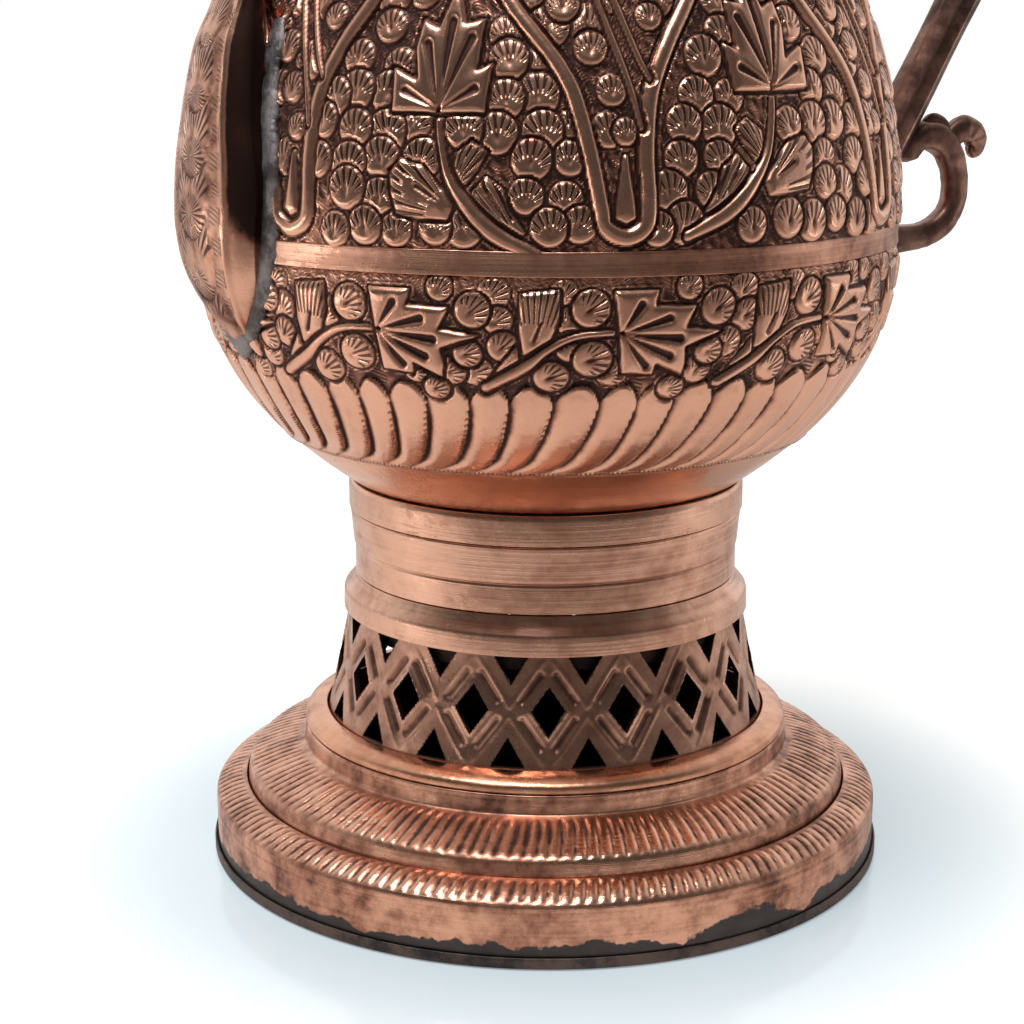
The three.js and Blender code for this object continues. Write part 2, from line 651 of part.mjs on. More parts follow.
function chimneyCap() {
  const skirtOuter = SLEEVE_RADIUS - SHEET - CAP_SKIRT_CLEARANCE;
  const skirtInner = skirtOuter - SHEET;
  const flange = SLEEVE_RADIUS + CAP_FLANGE;
  const hole = PEG_RADIUS + GAP;
  const dome = (radius, height) => steps(4, (t) => [
    hole + (radius - hole) * Math.cos(t * Math.PI / 2),
    capBottom + SHEET + height * Math.sin(t * Math.PI / 2),
  ]);
  return ring([
    [skirtOuter, capBottom - CAP_SKIRT_DEPTH], [skirtOuter, capBottom], [flange, capBottom],
    [flange, capBottom + SHEET], ...dome(skirtOuter + SHEET, CAP_DOME_HEIGHT),
    ...dome(skirtInner, CAP_DOME_HEIGHT - SHEET).reverse(),
    [skirtInner, capBottom - CAP_SKIRT_DEPTH],
  ], SMALL_SIDES);
}

function capFinial() {
  const base = capTop + GAP;
  const tip = base + FINIAL_HEIGHT;
  const ball = tip - 1.3 * FINIAL_RADIUS;
  return turned([
    [0, base - 3 * SHEET], [PEG_RADIUS, base - 3 * SHEET], [PEG_RADIUS, base], [FINIAL_RADIUS, base],
    [FINIAL_RADIUS * 0.45, base + FINIAL_FOOT], [FINIAL_RADIUS * 0.5, ball - FINIAL_RADIUS * 0.8],
    [FINIAL_RADIUS * 0.95, ball], [FINIAL_RADIUS * 0.5, ball + FINIAL_RADIUS * 0.8], [0, tip],
  ], 14);
}

// ---------------------------------------------------------------- hinge
function knuckle(middle) {
  return rod(KNUCKLE_RADIUS, KNUCKLE_LENGTH).translate(hingeRadius, middle, hingeLevel);
}

function pinBore() {
  return rod(PIN_RADIUS + PIN_CLEARANCE, 4 * KNUCKLE_LENGTH).translate(hingeRadius, 0, hingeLevel);
}

function hingeBlock() {
  const pitch = KNUCKLE_LENGTH + GAP;
  const width = 3 * KNUCKLE_LENGTH + 2 * GAP;
  const low = hingeBlockBottom;
  const block = slab([
    [cupRadius(low) - 4, low], [hingeFace(low), low], [hingeFace(cupTop), cupTop],
    [hingeFace(cupTop), hingeLevel], [lidRadius - 2, hingeLevel],
  ], width);
  const middle = box(
    [lidRadius - 6, -KNUCKLE_LENGTH / 2 - GAP, hingeLevel - KNUCKLE_RADIUS - GAP],
    [hingeRadius + 2 * KNUCKLE_RADIUS, KNUCKLE_LENGTH / 2 + GAP, hingeLevel + 2 * KNUCKLE_RADIUS]);
  const clearOfLid = box([0, -width, lidBottom - 2 * GAP], [hingeRadius, width, hingeLevel + 10]);
  const body = cut(block, clearOfLid, cupCutter(GAP));
  const whole = cut(join(body, knuckle(-pitch), knuckle(pitch)), middle, pinBore());
  const spotFaces = [-1, 1].map((side) => hingeRivetPlace(
    rod(RIVET_HEAD_RADIUS + GAP, 16).translate(0, hingeRivetSeat - GAP + 8, 0), side));
  return cut(whole, ...rivetHoles(hingeRivetPlace), ...spotFaces);
}

function hingePin() {
  const length = 3 * KNUCKLE_LENGTH + 2 * GAP + 2;
  return rod(PIN_RADIUS, length).translate(hingeRadius, 0, hingeLevel);
}

function lidHingeLeaf() {
  const top = hingeLevel + LEAF_THICKNESS;
  const tongue = box([domeRadius + SHEET, -KNUCKLE_LENGTH / 2, hingeLevel - SHEET],
    [hingeRadius, KNUCKLE_LENGTH / 2, top]);
  const pad = box(
    [domeRadius - 2 * GAP, -LEAF_HALF_WIDTH, hingeLevel - SHEET],
    [lidRadius - GAP, LEAF_HALF_WIDTH, top]);
  const leaf = cut(join(tongue, pad), lidCutter(GAP));
  return cut(join(leaf, knuckle(0)), pinBore(), ...rivetHoles(lidRivetPlace));
}

// A domed head on a shank that starts `depth` behind the head's seat.
function rivet(depth) {
  return turned([
    [0, -depth], [RIVET_RADIUS, -depth], [RIVET_RADIUS, 0], [RIVET_HEAD_RADIUS, 0],
    [RIVET_HEAD_RADIUS * 0.8, RIVET_HEAD_HEIGHT * 0.6], [0, RIVET_HEAD_HEIGHT],
  ], 8).rotateX(-Math.PI / 2);
}

function bracketRivet(side) {
  const seat = BRACKET_THICKNESS + 2 * GAP + 1;
  return bracketRivetPlace(rivet(seat + SHEET).translate(0, seat, 0), side);
}

function hingeRivet(side) {
  return hingeRivetPlace(rivet(hingeRivetSeat + SHEET).translate(0, hingeRivetSeat, 0), side);
}

function lidRivet(side) {
  const seat = hingeLevel + LEAF_THICKNESS + GAP - lidBottom;
  return lidRivetPlace(rivet(seat).translate(0, seat, 0), side);
}

// ---------------------------------------------------------------- spout
// Stations from the root's tip up to the lip: middle [x, z], half depth and half width.
function spoutStations(shrink) {
  const root = (rise, share, width) => {
    const z = bellyLevel - SPOUT_TIP_DROP + rise;
    const front = Math.min(bodyRadius(z), BELLY_RADIUS) + SPOUT_STAND_OFF * share;
    const depth = SPOUT_ROOT_DEPTH - Math.abs(rise - SPOUT_ROOT_FULL) / 8;
    return { x: front - depth / 2, z, depth: depth / 2, width: SPOUT_WIDTH / 2 * width };
  };
  const neckStart = bellyLevel + SPOUT_NECK_START;
  const neckX = bodyRadius(neckStart) + SPOUT_NECK_GAP + SPOUT_NECK_DEPTH / 2;
  const lipX = BELLY_RADIUS + SPOUT_REACH;
  const neck = (across, rise, share) => ({
    x: neckX + (lipX - neckX) * across,
    z: neckStart + (neckLevel + SPOUT_LIP_RISE - neckStart) * rise,
    depth: SPOUT_NECK_DEPTH / 2 * (1 - share) + SPOUT_LIP_RADIUS * share,
    width: SPOUT_NECK_WIDTH / 2 * (1 - share) + SPOUT_LIP_RADIUS * share,
  });
  const list = [
    root(0, 0.02, 0.1), root(4, 0.3, 0.38), root(10, 0.6, 0.66), root(18, 0.85, 0.88),
    root(27, 0.97, 0.98), root(36, 1, 1), root(45, 1.02, 0.95), root(54, 1.06, 0.82),
    root(63, 1.1, 0.74), root(72, 1.14, 0.64),
    neck(0, 0, 0), neck(-0.05, 0.13, 0.1), neck(-0.02, 0.28, 0.2), neck(0.1, 0.43, 0.35),
    neck(0.3, 0.58, 0.5), neck(0.54, 0.72, 0.65), neck(0.78, 0.85, 0.8), neck(1, 1, 1),
  ];
  return list.map((s) => ({ ...s, depth: s.depth - shrink, width: Math.max(0.4, s.width - shrink) }));
}

// Skins ten-sided sections, each square to the line through its neighbours.
function loft(stations, sides = 10) {
  const positions = [];
  stations.forEach((s, i) => {
    const before = stations[Math.max(i - 1, 0)];
    const after = stations[Math.min(i + 1, stations.length - 1)];
    const lean = Math.atan2(after.x - before.x, after.z - before.z);
    for (let k = 0; k < sides; k += 1) {
      const angle = (k + 0.5) * 2 * Math.PI / sides;
      const out = s.depth * Math.cos(angle);
      positions.push(-(s.x + out * Math.cos(lean)), s.width * Math.sin(angle), s.z - out * Math.sin(lean));
    }
  });
  const first = stations[0];
  const last = stations[stations.length - 1];
  positions.push(-first.x, 0, first.z, -last.x, 0, last.z);
  const [bottom, top] = [stations.length * sides, stations.length * sides + 1];
  const index = [];
  for (let k = 0; k < sides; k += 1) {
    const next = (k + 1) % sides;
    for (let i = 0; i + 1 < stations.length; i += 1) {
      const [a, b] = [i * sides + k, i * sides + next];
      index.push(a, b, a + sides, b, b + sides, a + sides);
    }
    index.push(bottom, next, k, top, bottom - sides + k, bottom - sides + next);
  }
  const geometry = new THREE.BufferGeometry();
  geometry.setAttribute('position', new THREE.Float32BufferAttribute(positions, 3));
  geometry.setIndex(index);
  return geometry;
}

// The last station carried on along the spout's own direction, so that a bore breaks through.
function carriedOn(stations, distance) {
  const last = stations[stations.length - 1];
  const before = stations[stations.length - 2];
  const run = Math.hypot(last.x - before.x, last.z - before.z);
  return [...stations, {
    ...last,
    x: last.x + (last.x - before.x) / run * distance,
    z: last.z + (last.z - before.z) / run * distance,
  }];
}

function spout() {
  return cut(loft(spoutStations(0)), loft(carriedOn(spoutStations(SPOUT_WALL), BORE_RUN_OUT)), bodyCutter(GAP));
}

function spoutLip() {
  const stations = spoutStations(0);
  const last = stations[stations.length - 1];
  const before = stations[stations.length - 2];
  const lean = Math.atan2(last.x - before.x, last.z - before.z);
  const inner = SPOUT_LIP_RADIUS + GAP;
  const collar = ring([
    [inner + 0.6, -4], [inner + 1.8, -0.6], [inner + 1.2, 0.6], [inner, 0.6], [inner, -4],
  ], 16);
  return cut(collar.rotateY(-lean).translate(-last.x, 0, last.z), loft(carriedOn(spoutStations(-GAP), BORE_RUN_OUT)));
}

// The bead of tin run round the root, from below its tip to where the neck leaves the belly.
function spoutSolder() {
  const grown = spoutStations(-SOLDER_BEAD).slice(0, SPOUT_ROOT_STATIONS);
  const below = { ...grown[0], z: grown[0].z - SOLDER_BEAD };
  const skin = cut(bodyCutter(GAP + SHEET), bodyCutter(GAP));
  return cut(common(skin, loft([below, ...grown])), loft(spoutStations(-GAP)));
}

// ---------------------------------------------------------------- handle, drawn in the XZ plane
function barPoints() {
  const foot = bellyLevel - HANDLE_FOOT_DROP;
  const along = (rise) => [BELLY_RADIUS + HANDLE_LEAN * rise, foot + rise];
  const reach = BELLY_RADIUS + HANDLE_REACH;
  const top = cupBottom + BRACKET_HEIGHT / 2 + SHEET;
  return [
    along(-5), along(31), along(67), [reach - 3, foot + 91], [reach, foot + 107],
    [reach - 5, top - 27], [reach - 20, top - 12], [reach - 42, top - 3], [reach - 66, top],
    [CUP_BOTTOM_RADIUS + 2, top],
  ];
}

function handleBar() {
  const whole = bar(barPoints(), BAR_RADIUS, BAR_RADIUS, 8, 30);
  return cut(whole, bodyCutter(PALM_THICKNESS + 2 * GAP), cupCutter(BRACKET_THICKNESS + 2 * GAP));
}

function handlePalm() {
  const middle = bellyLevel - HANDLE_FOOT_DROP + 2;
  const [w, h] = [PALM_WIDTH / 2, PALM_HEIGHT / 2];
  const outline = [
    [0, middle - h], [w * 0.7, middle - h * 0.6], [w, middle - h * 0.1], [w * 0.75, middle + h * 0.5],
    [0, middle + h], [-w * 0.75, middle + h * 0.5], [-w, middle - h * 0.1], [-w * 0.7, middle - h * 0.6],
  ];
  const plug = radialPlug(outline, BELLY_RADIUS / 2, BELLY_RADIUS + 20);
  const bandCutter = turned([
    [0, bandMiddle - BELLY_BAND_HEIGHT], [BELLY_RADIUS + BELLY_BAND_PROUD + GAP, bandMiddle - BELLY_BAND_HEIGHT],
    [BELLY_RADIUS + BELLY_BAND_PROUD + GAP, bandMiddle + BELLY_BAND_HEIGHT], [0, bandMiddle + BELLY_BAND_HEIGHT],
  ], CUTTER_SIDES);
  return cut(common(bodyCutter(GAP + PALM_THICKNESS), plug), bodyCutter(GAP), bandCutter);
}

function handleScroll() {
  const foot = bellyLevel - HANDLE_FOOT_DROP - 2;
  const at = (out, rise) => [BELLY_RADIUS + out, foot + rise];
  const stem = [
    at(-4, -1), at(19, 0), at(29, 0.6), at(36, 4.5), at(39.5, 11), at(39, 20), at(35.5, 27),
    at(30.5, 30.8), at(25, 30), at(21.6, 25.8), at(21.4, 21),
  ];
  const curl = [at(36, 24), at(38.5, 31), at(43, 33.4), at(47.2, 30.6), at(47.2, 25.6), at(43.4, 24.4)];
  const [w, t] = [SCROLL_WIDTH / 2, SCROLL_THICKNESS / 2];
  const whole = join(bar(stem, t, w, 8, 26), bar(curl, t * 0.9, w * 0.8, 8, 12));
  const barRoom = bar(barPoints(), BAR_RADIUS + GAP, BAR_RADIUS + GAP, 8, 30);
  return cut(whole, bodyCutter(PALM_THICKNESS + 2 * GAP), barRoom);
}

function handleBracket() {
  const low = cupBottom + SHEET;
  const half = bracketHalf;
  const plug = radialPlug(
    [[-half, low], [half, low], [half, low + BRACKET_HEIGHT], [-half, low + BRACKET_HEIGHT]],
    CUP_BOTTOM_RADIUS / 2, MOUTH_RADIUS + 10);
  const plate = cut(common(cupCutter(GAP + BRACKET_THICKNESS), plug), cupCutter(GAP));
  return cut(plate, ...rivetHoles(bracketRivetPlace));
}

// ---------------------------------------------------------------- assembly
function named(name, geometry, material) {
  const mesh = new THREE.Mesh(geometry, material);
  mesh.name = name;
  return mesh;
}

const jug = new THREE.Group();
jug.add(
  named('bottom_plate', bottomPlate(), tinSolder),
  named('foot_lower_tier', footLowerTier(), smoothCopper),
  named('foot_upper_tier', footUpperTier(), smoothCopper),
  named('gallery_collar', galleryCollar(), smoothCopper),
  named('pierced_gallery', piercedGallery(), castCopper),
  named('gallery_top_ring', galleryTopRing(), smoothCopper),
  named('stand_neck', standNeck(), smoothCopper),
  named('vessel_collar', vesselCollar(), smoothCopper),
  named('lower_belly', lowerBelly(), chasedCopper),
  named('belly_band', bellyBand(), smoothCopper),
  named('upper_body', upperBody(), chasedCopper),
  named('vessel_floor', vesselFloor(), smoothCopper),
  named('fire_tube', fireTube(), smoothCopper),
  named('grate_seat', grateSeat(), iron),
  named('fire_grate', fireGrate(), iron),
  named('neck_ring', neckRing(), castCopper),
  named('mouth_cup', mouthCup(), chasedCopper),
  named('mouth_rim', mouthRim(), smoothCopper),
  named('lid', lid(), chasedCopper),
  named('lid_sleeve', lidSleeve(), smoothCopper),
  named('lid_knob', lidKnob(), castCopper),
  named('chimney_cap', chimneyCap(), chasedCopper),
  named('cap_finial', capFinial(), castCopper),
  named('spout', spout(), chasedCopper),
  named('spout_lip', spoutLip(), castCopper),
  named('spout_solder', spoutSolder(), tinSolder),
);

const handleSide = new THREE.Group();
handleSide.rotation.z = HANDLE_TURN;
handleSide.add(
  named('handle_palm', handlePalm(), castCopper),
  named('handle_bar', handleBar(), castCopper),
  named('handle_scroll', handleScroll(), castCopper),
  named('handle_bracket', handleBracket(), castCopper),
  named('hinge_block', hingeBlock(), castCopper),
  named('hinge_pin', hingePin(), castCopper),
  named('lid_hinge_leaf', lidHingeLeaf(), castCopper),
);
for (const [suffix, side] of [['left', -1], ['right', 1]]) {
  handleSide.add(
    named(`bracket_rivet_${suffix}`, bracketRivet(side), castCopper),
    named(`hinge_rivet_${suffix}`, hingeRivet(side), castCopper),
    named(`lid_rivet_${suffix}`, lidRivet(side), castCopper),
  );
}
jug.add(handleSide);

export default jug;
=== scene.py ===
# %% [markdown]
# # A pierced copper samovar jug
# The object is a jug of beaten copper on a pierced fire stand. A smith turned and soldered the plain
# hoops, then a chaser filled the belly with pitch and punched leaves, shells and straps into it.
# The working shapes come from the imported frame. This lesson gives each of them its real surface:
# plain hoops are profiles carried round an axis, the chased sheets are rolled out flat as height
# fields that small "punch" functions press into, and the fluted ledges are made by Geometry Nodes.
# All sizes in this lesson are millimetres until a mesh is made; Blender gets metres.

# %% Load the frame
import bpy
import json
import math
import numpy as np
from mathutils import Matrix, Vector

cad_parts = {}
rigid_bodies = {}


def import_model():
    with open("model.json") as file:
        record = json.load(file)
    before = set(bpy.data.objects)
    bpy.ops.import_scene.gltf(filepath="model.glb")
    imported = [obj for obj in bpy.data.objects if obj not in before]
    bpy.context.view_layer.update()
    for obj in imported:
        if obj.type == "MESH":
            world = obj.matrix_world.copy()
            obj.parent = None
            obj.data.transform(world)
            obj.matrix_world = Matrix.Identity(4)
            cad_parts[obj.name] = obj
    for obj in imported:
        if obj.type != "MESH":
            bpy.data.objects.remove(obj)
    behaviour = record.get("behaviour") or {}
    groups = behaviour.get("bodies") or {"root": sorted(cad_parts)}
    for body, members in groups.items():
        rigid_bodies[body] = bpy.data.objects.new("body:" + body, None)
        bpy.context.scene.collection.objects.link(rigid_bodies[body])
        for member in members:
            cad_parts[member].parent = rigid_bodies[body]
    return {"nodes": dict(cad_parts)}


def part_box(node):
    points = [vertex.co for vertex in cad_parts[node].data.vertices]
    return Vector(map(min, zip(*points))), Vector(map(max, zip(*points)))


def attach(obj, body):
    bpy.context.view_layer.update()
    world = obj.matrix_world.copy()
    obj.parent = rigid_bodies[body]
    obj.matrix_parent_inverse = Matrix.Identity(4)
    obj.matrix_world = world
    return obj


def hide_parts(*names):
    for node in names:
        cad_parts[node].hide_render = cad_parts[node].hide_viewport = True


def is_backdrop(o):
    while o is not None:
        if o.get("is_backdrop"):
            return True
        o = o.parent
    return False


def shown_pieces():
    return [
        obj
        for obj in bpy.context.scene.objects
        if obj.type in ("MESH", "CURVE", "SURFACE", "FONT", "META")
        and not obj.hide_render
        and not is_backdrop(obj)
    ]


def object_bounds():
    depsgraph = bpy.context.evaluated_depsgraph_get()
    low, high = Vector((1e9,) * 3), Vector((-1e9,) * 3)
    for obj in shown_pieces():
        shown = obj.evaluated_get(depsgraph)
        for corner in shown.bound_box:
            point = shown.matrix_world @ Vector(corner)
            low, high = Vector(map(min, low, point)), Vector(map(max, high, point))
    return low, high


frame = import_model()
cad_low, cad_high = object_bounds()
MM = 0.001
FIXED = "stand_and_vessel"

# %% [markdown]
# ## Levels and outlines
# Every hoop and sheet takes its height and radius from the frame's own boxes, so that a changed
# part moves the lesson with it. Only the belly's curve is repeated here as a formula.

# %% Levels from the frame
def levels(node):
    low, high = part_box(node)
    return low.z / MM, high.z / MM


def reach(node):
    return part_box(node)[1].x / MM


SHEET = 1.2
FRONT = -122  # azimuth of the side that faces the camera, in degrees
belly_bottom, belly_top = levels("lower_belly")
field_bottom, neck_level = levels("upper_body")
foot_radius = reach("foot_lower_tier")
belly_radius = reach("belly_band") - 0.2
BELLY_LOWER = 71.2
CROWN = 68
BELLY_FOOT = 54
SHOULDER = 79.6
NECK = 54
SWELL = 2.6
NECK_SLOPE = -0.12
belly_level = belly_bottom + BELLY_LOWER
shoulder_level = belly_level + CROWN
print(f"belly {2 * belly_radius:.1f} mm across at z {belly_level:.1f}, neck at z {neck_level:.1f}")


# %% The belly's outline
def body_radius(z):
    z = np.asarray(z, float)
    share = np.clip((z - belly_bottom) / BELLY_LOWER, 0, 1)
    lower = BELLY_FOOT + (belly_radius - BELLY_FOOT) * (1 - (1 - share) ** SWELL)
    drop = belly_radius - SHOULDER
    crown = belly_radius - drop * ((z - belly_level) / CROWN) ** 2
    rise = neck_level - shoulder_level
    u = np.clip((z - shoulder_level) / rise, 0, 1)
    upper = (
        SHOULDER * (2 * u**3 - 3 * u**2 + 1)
        - 2 * drop / CROWN * rise * (u**3 - 2 * u**2 + u)
        + NECK * (3 * u**2 - 2 * u**3)
        + NECK_SLOPE * rise * (u**3 - u**2)
    )
    return np.where(z <= belly_level, lower, np.where(z <= shoulder_level, crown, upper))


# %% [markdown]
# ## Camera, light and floor
# A long lens stands a little above the stand's neck and looks down. The room is a plain soft
# studio: white all round and behind, darker on the camera's side, because polished copper shows
# nothing but its surroundings and needs something dark to draw its shapes.

# %% Camera
VIEW_AZIMUTH = math.radians(-32)
VIEW_DISTANCE = 0.576
VIEW_HEIGHT = 0.233
VIEW_SIDE = 0.0095
VIEW_PITCH = math.radians(13.49)
LENS = 73.3
camera_data = bpy.data.cameras.new("camera")
camera_data.lens = LENS
camera = bpy.data.objects.new("camera", camera_data)
across = np.array([math.cos(VIEW_AZIMUTH), math.sin(VIEW_AZIMUTH)])
towards = np.array([math.sin(VIEW_AZIMUTH), -math.cos(VIEW_AZIMUTH)])
spot = towards * VIEW_DISTANCE - across * VIEW_SIDE
camera.location = (spot[0], spot[1], VIEW_HEIGHT)
camera.rotation_euler = (math.pi / 2 - VIEW_PITCH, 0, VIEW_AZIMUTH)
bpy.context.scene.collection.objects.link(camera)
bpy.context.scene.camera = camera
bpy.context.scene.view_settings.view_transform = "Standard"
print("camera at", [round(v, 3) for v in camera.location])


# %% [markdown]
# ## Writing node trees as sums
# Shader and geometry maths both read better as Python. `Wire` wraps one output socket, so that
# `1 - mask * 0.5` adds the Math nodes by itself, and `Graph.node` makes any other node from its
# type, its settings and the values or wires of its inputs.

# %% The socket wrapper
class Wire:
    """One output socket. Arithmetic on it adds Math nodes to its graph."""

    def __init__(self, graph, socket):
        self.graph = graph
        self.socket = socket

    def maths(self, operation, *values):
        return self.graph.node("ShaderNodeMath", {"operation": operation}, dict(enumerate(values)))

    def __add__(self, other):
        return self.maths("ADD", self, other)

    def __sub__(self, other):
        return self.maths("SUBTRACT", self, other)

    def __rsub__(self, other):
        return self.maths("SUBTRACT", other, self)

    def __mul__(self, other):
        return self.maths("MULTIPLY", self, other)

    def __truediv__(self, other):
        return self.maths("DIVIDE", self, other)

    def __pow__(self, other):
        return self.maths("POWER", self, other)

    __radd__ = __add__
    __rmul__ = __mul__

    def between(self, low, high):
        """0 up to low, 1 from high on, and smooth in between."""
        settings = {"interpolation_type": "SMOOTHSTEP"}
        return self.graph.node("ShaderNodeMapRange", settings, {"Value": self, 1: low, 2: high})


# %% The graph that makes nodes
class Graph:
    """A node tree that is written from top to bottom."""

    def __init__(self, tree):
        self.tree = tree

    def node(self, kind, settings=None, values=None, output=0):
        made = self.tree.nodes.new(kind)
        for name, value in (settings or {}).items():
            setattr(made, name, value)
        for name, value in (values or {}).items():
            if isinstance(value, Wire):
                self.tree.links.new(value.socket, made.inputs[name])
            else:
                made.inputs[name].default_value = value
        return Wire(self, made.outputs[output]) if made.outputs else None

    def mix(self, share, first, second):
        """Two colours, by a share from 0 to 1."""
        colours = [v if isinstance(v, Wire) else (*v, 1) for v in (first, second)]
        values = {"Factor": share, 6: colours[0], 7: colours[1]}
        return self.node("ShaderNodeMix", {"data_type": "RGBA"}, values, output=2)

    def noise(self, place, scale, detail=3, roughness=0.55):
        values = {"Vector": place, "Scale": scale, "Detail": detail, "Roughness": roughness}
        return self.node("ShaderNodeTexNoise", None, values)

    def attribute(self, name):
        return self.node("ShaderNodeAttribute", {"attribute_name": name}, output=2)

    def stretched(self, place, sides, up):
        """The place with its sides and its height scaled apart, for lines left by turning."""
        settings = {"operation": "MULTIPLY"}
        return self.node("ShaderNodeVectorMath", settings, {0: place, 1: (sides, sides, up)})


# %% Room and floor
studio = bpy.data.worlds.new("studio")
studio.use_nodes = True
studio.node_tree.nodes.clear()
room = Graph(studio.node_tree)
DARK_SIDE = 0.09
BRIGHT_SIDE = 0.95
facing = (towards[0] * 0.98, towards[1] * 0.98, 0.2)
direction = room.node("ShaderNodeTexCoord", output="Generated")
turned_to = room.node(
    "ShaderNodeVectorMath", {"operation": "DOT_PRODUCT"}, {0: direction, 1: facing}, "Value",
)
glow = BRIGHT_SIDE - turned_to.between(-0.45, 0.55) * (BRIGHT_SIDE - DARK_SIDE)
soft = room.node("ShaderNodeBackground", None, {"Color": (1, 0.985, 0.965, 1), "Strength": glow})
white = room.node("ShaderNodeBackground", None, {"Color": (1, 1, 1, 1), "Strength": 1.0})
seen = room.node("ShaderNodeLightPath", output="Is Camera Ray")
both = room.node("ShaderNodeMixShader", None, {0: seen, 1: soft, 2: white})
room.node("ShaderNodeOutputWorld", None, {"Surface": both})
bpy.context.scene.world = studio

FLOOR_HALF = 4.0
floor_mesh = bpy.data.meshes.new("floor")
corners = [(x * FLOOR_HALF, y * FLOOR_HALF, -0.0003) for x, y in ((-1, -1), (1, -1), (1, 1), (-1, 1))]
floor_mesh.from_pydata(corners, [], [(0, 1, 2, 3)])
floor = bpy.data.objects.new("floor", floor_mesh)
bpy.context.scene.collection.objects.link(floor)
floor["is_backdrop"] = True


# %% Lamps
def lamp(name, azimuth, height, distance, size, power):
    """A soft box at an azimuth round the jug, turned to the belly."""
    data = bpy.data.lights.new(name, "AREA")
    data.shape = "RECTANGLE"
    data.size, data.size_y = size
    data.energy = power
    made = bpy.data.objects.new(name, data)
    angle = math.radians(azimuth)
    made.location = (math.cos(angle) * distance, math.sin(angle) * distance, height)
    aim = -np.array([made.location[0], made.location[1], height - 0.15])
    turn = math.atan2(aim[0], -aim[1])
    tilt = math.acos(-aim[2] / np.linalg.norm(aim))
    made.rotation_euler = (tilt, 0, turn)
    bpy.context.scene.collection.objects.link(made)


lamp("key_softbox", FRONT - 66, 0.45, 1.0, (0.45, 1.0), 62)
lamp("fill_softbox", FRONT + 84, 0.55, 1.1, (0.34, 1.0), 17)
lamp("top_softbox", FRONT - 30, 1.4, 0.55, (0.7, 0.5), 19)

# %% [markdown]
# ## Finishes
# On the spout and on the gallery's inner face the tone also carries painted light: painted highlights and
# painted shade.
# Copper on a jug like this is one metal in several states: rubbed bright where hands and cloths
# reach, brown in between, nearly black in the punched recesses. Each vertex carries a number, its
# "tone", from 0 in a recess to 1 on a ridge, and the shader turns that into colour and gloss.
# Punch hatching is finer than the mesh, so two more numbers ride along: "phase", which counts the
# lines, and "cut", which says where they are struck.


# %% Principled finish
def finish(name, colour, roughness, metallic, height=None, coat=0.0):
    """A material whose colour, roughness and metallic may be wires. Heights are in millimetres."""
    material = bpy.data.materials.new(name)
    material.use_nodes = True
    material.node_tree.nodes.clear()
    graph = Graph(material.node_tree)
    values = {"Coat Weight": coat}
    for socket, value in (("Base Color", colour), ("Roughness", roughness), ("Metallic", metallic)):
        values[socket] = value(graph) if callable(value) else value
    if height is not None:
        bump = {"Height": height(graph), "Distance": MM, "Strength": 1.0}
        values["Normal"] = graph.node("ShaderNodeBump", None, bump)
    surface = graph.node("ShaderNodeBsdfPrincipled", None, values)
    graph.node("ShaderNodeOutputMaterial", None, {"Surface": surface})
    return material


def place(graph):
    return graph.node("ShaderNodeTexCoord", output="Object")


# %% Copper
RUBBED = (0.84, 0.47, 0.33)
BROWN = (0.36, 0.158, 0.105)
RECESS = (0.085, 0.044, 0.037)
STRUCK = 0.42  # depth of a hatch line in mm
HATCH_EDGES = (0.42, 0.72)
LACQUER = 0.12  # weight of the clear film that wax and grease leave
SMEAR = (0.075, 0.068, 0.068)


def hatch(graph):
    """1 on a struck line, 0 between the lines."""
    saw = graph.node("ShaderNodeMath", {"operation": "FRACT"}, {0: graph.attribute("phase")})
    ridge = graph.node("ShaderNodeMath", {"operation": "ABSOLUTE"}, {0: saw - 0.5}) * 2
    return ridge.between(*HATCH_EDGES) * graph.attribute("cut")


def copper(name, rubbed, brown, recess, gloss, lines=0.0, clouds=0.5, tone=True, grime=None):
    """`lines` is the depth of turning marks in mm, `clouds` the share of tarnish, `grime` its height."""

    def wear(graph):
        at = place(graph)
        cloud = graph.noise(at, 24, 5, 0.62).between(0.34, 0.68)
        blots = graph.noise(at, 150, 5, 0.65).between(0.30, 0.72)
        base = graph.attribute("tone") if tone else 0.6
        base = base - (cloud * 0.5 + blots * 0.5) * clouds * 0.7 + 0.17
        if lines:
            base = base + (graph.noise(graph.stretched(at, 5, 900), 1, 3, 0.6) - 0.5) * 0.35
        return base.between(0.10, 0.86), cloud

    def smeared(graph):
        """1 where old tin and grime cling to the lowest part."""
        up = Wire(graph, graph.node("ShaderNodeSeparateXYZ", None, {0: place(graph)}).socket.node.outputs[2])
        edge = (graph.noise(place(graph), 34, 7, 0.62) - 0.5) * 0.022 + grime * MM
        return (edge - up).between(-0.0003, 0.0005)

    def colour(graph):
        worn, cloud = wear(graph)
        clouded = tuple(0.72 * a + 0.28 * b for a, b in zip(rubbed, brown))
        metal = graph.mix(cloud * 0.6 + 0.2, rubbed, clouded)
        aged = graph.mix(worn.between(0.25, 1.0), brown, metal)
        deep = graph.mix(worn.between(0.0, 0.45), recess, aged)
        if grime:
            deep = graph.mix(smeared(graph), deep, SMEAR)
        if not tone:
            return deep
        return graph.mix(hatch(graph) * 0.90, deep, recess)

    def roughness(graph):
        worn, cloud = wear(graph)
        grain = graph.noise(place(graph), 420, 3, 0.6)
        dull = (1 - worn) * 0.30 + gloss + cloud * 0.07 + (grain - 0.5) * 0.12
        return dull + smeared(graph) * 0.15 if grime else dull

    def height(graph):
        at = place(graph)
        dents = graph.noise(at, 70, 3, 0.5) * 0.42 + graph.noise(at, 420, 4, 0.65) * 0.07
        if lines:
            dents = dents + graph.noise(graph.stretched(at, 6, 1500), 1, 4, 0.7) * lines
        return dents - hatch(graph) * STRUCK if tone else dents

    return finish(name, colour, roughness, 1.0, height, coat=LACQUER)


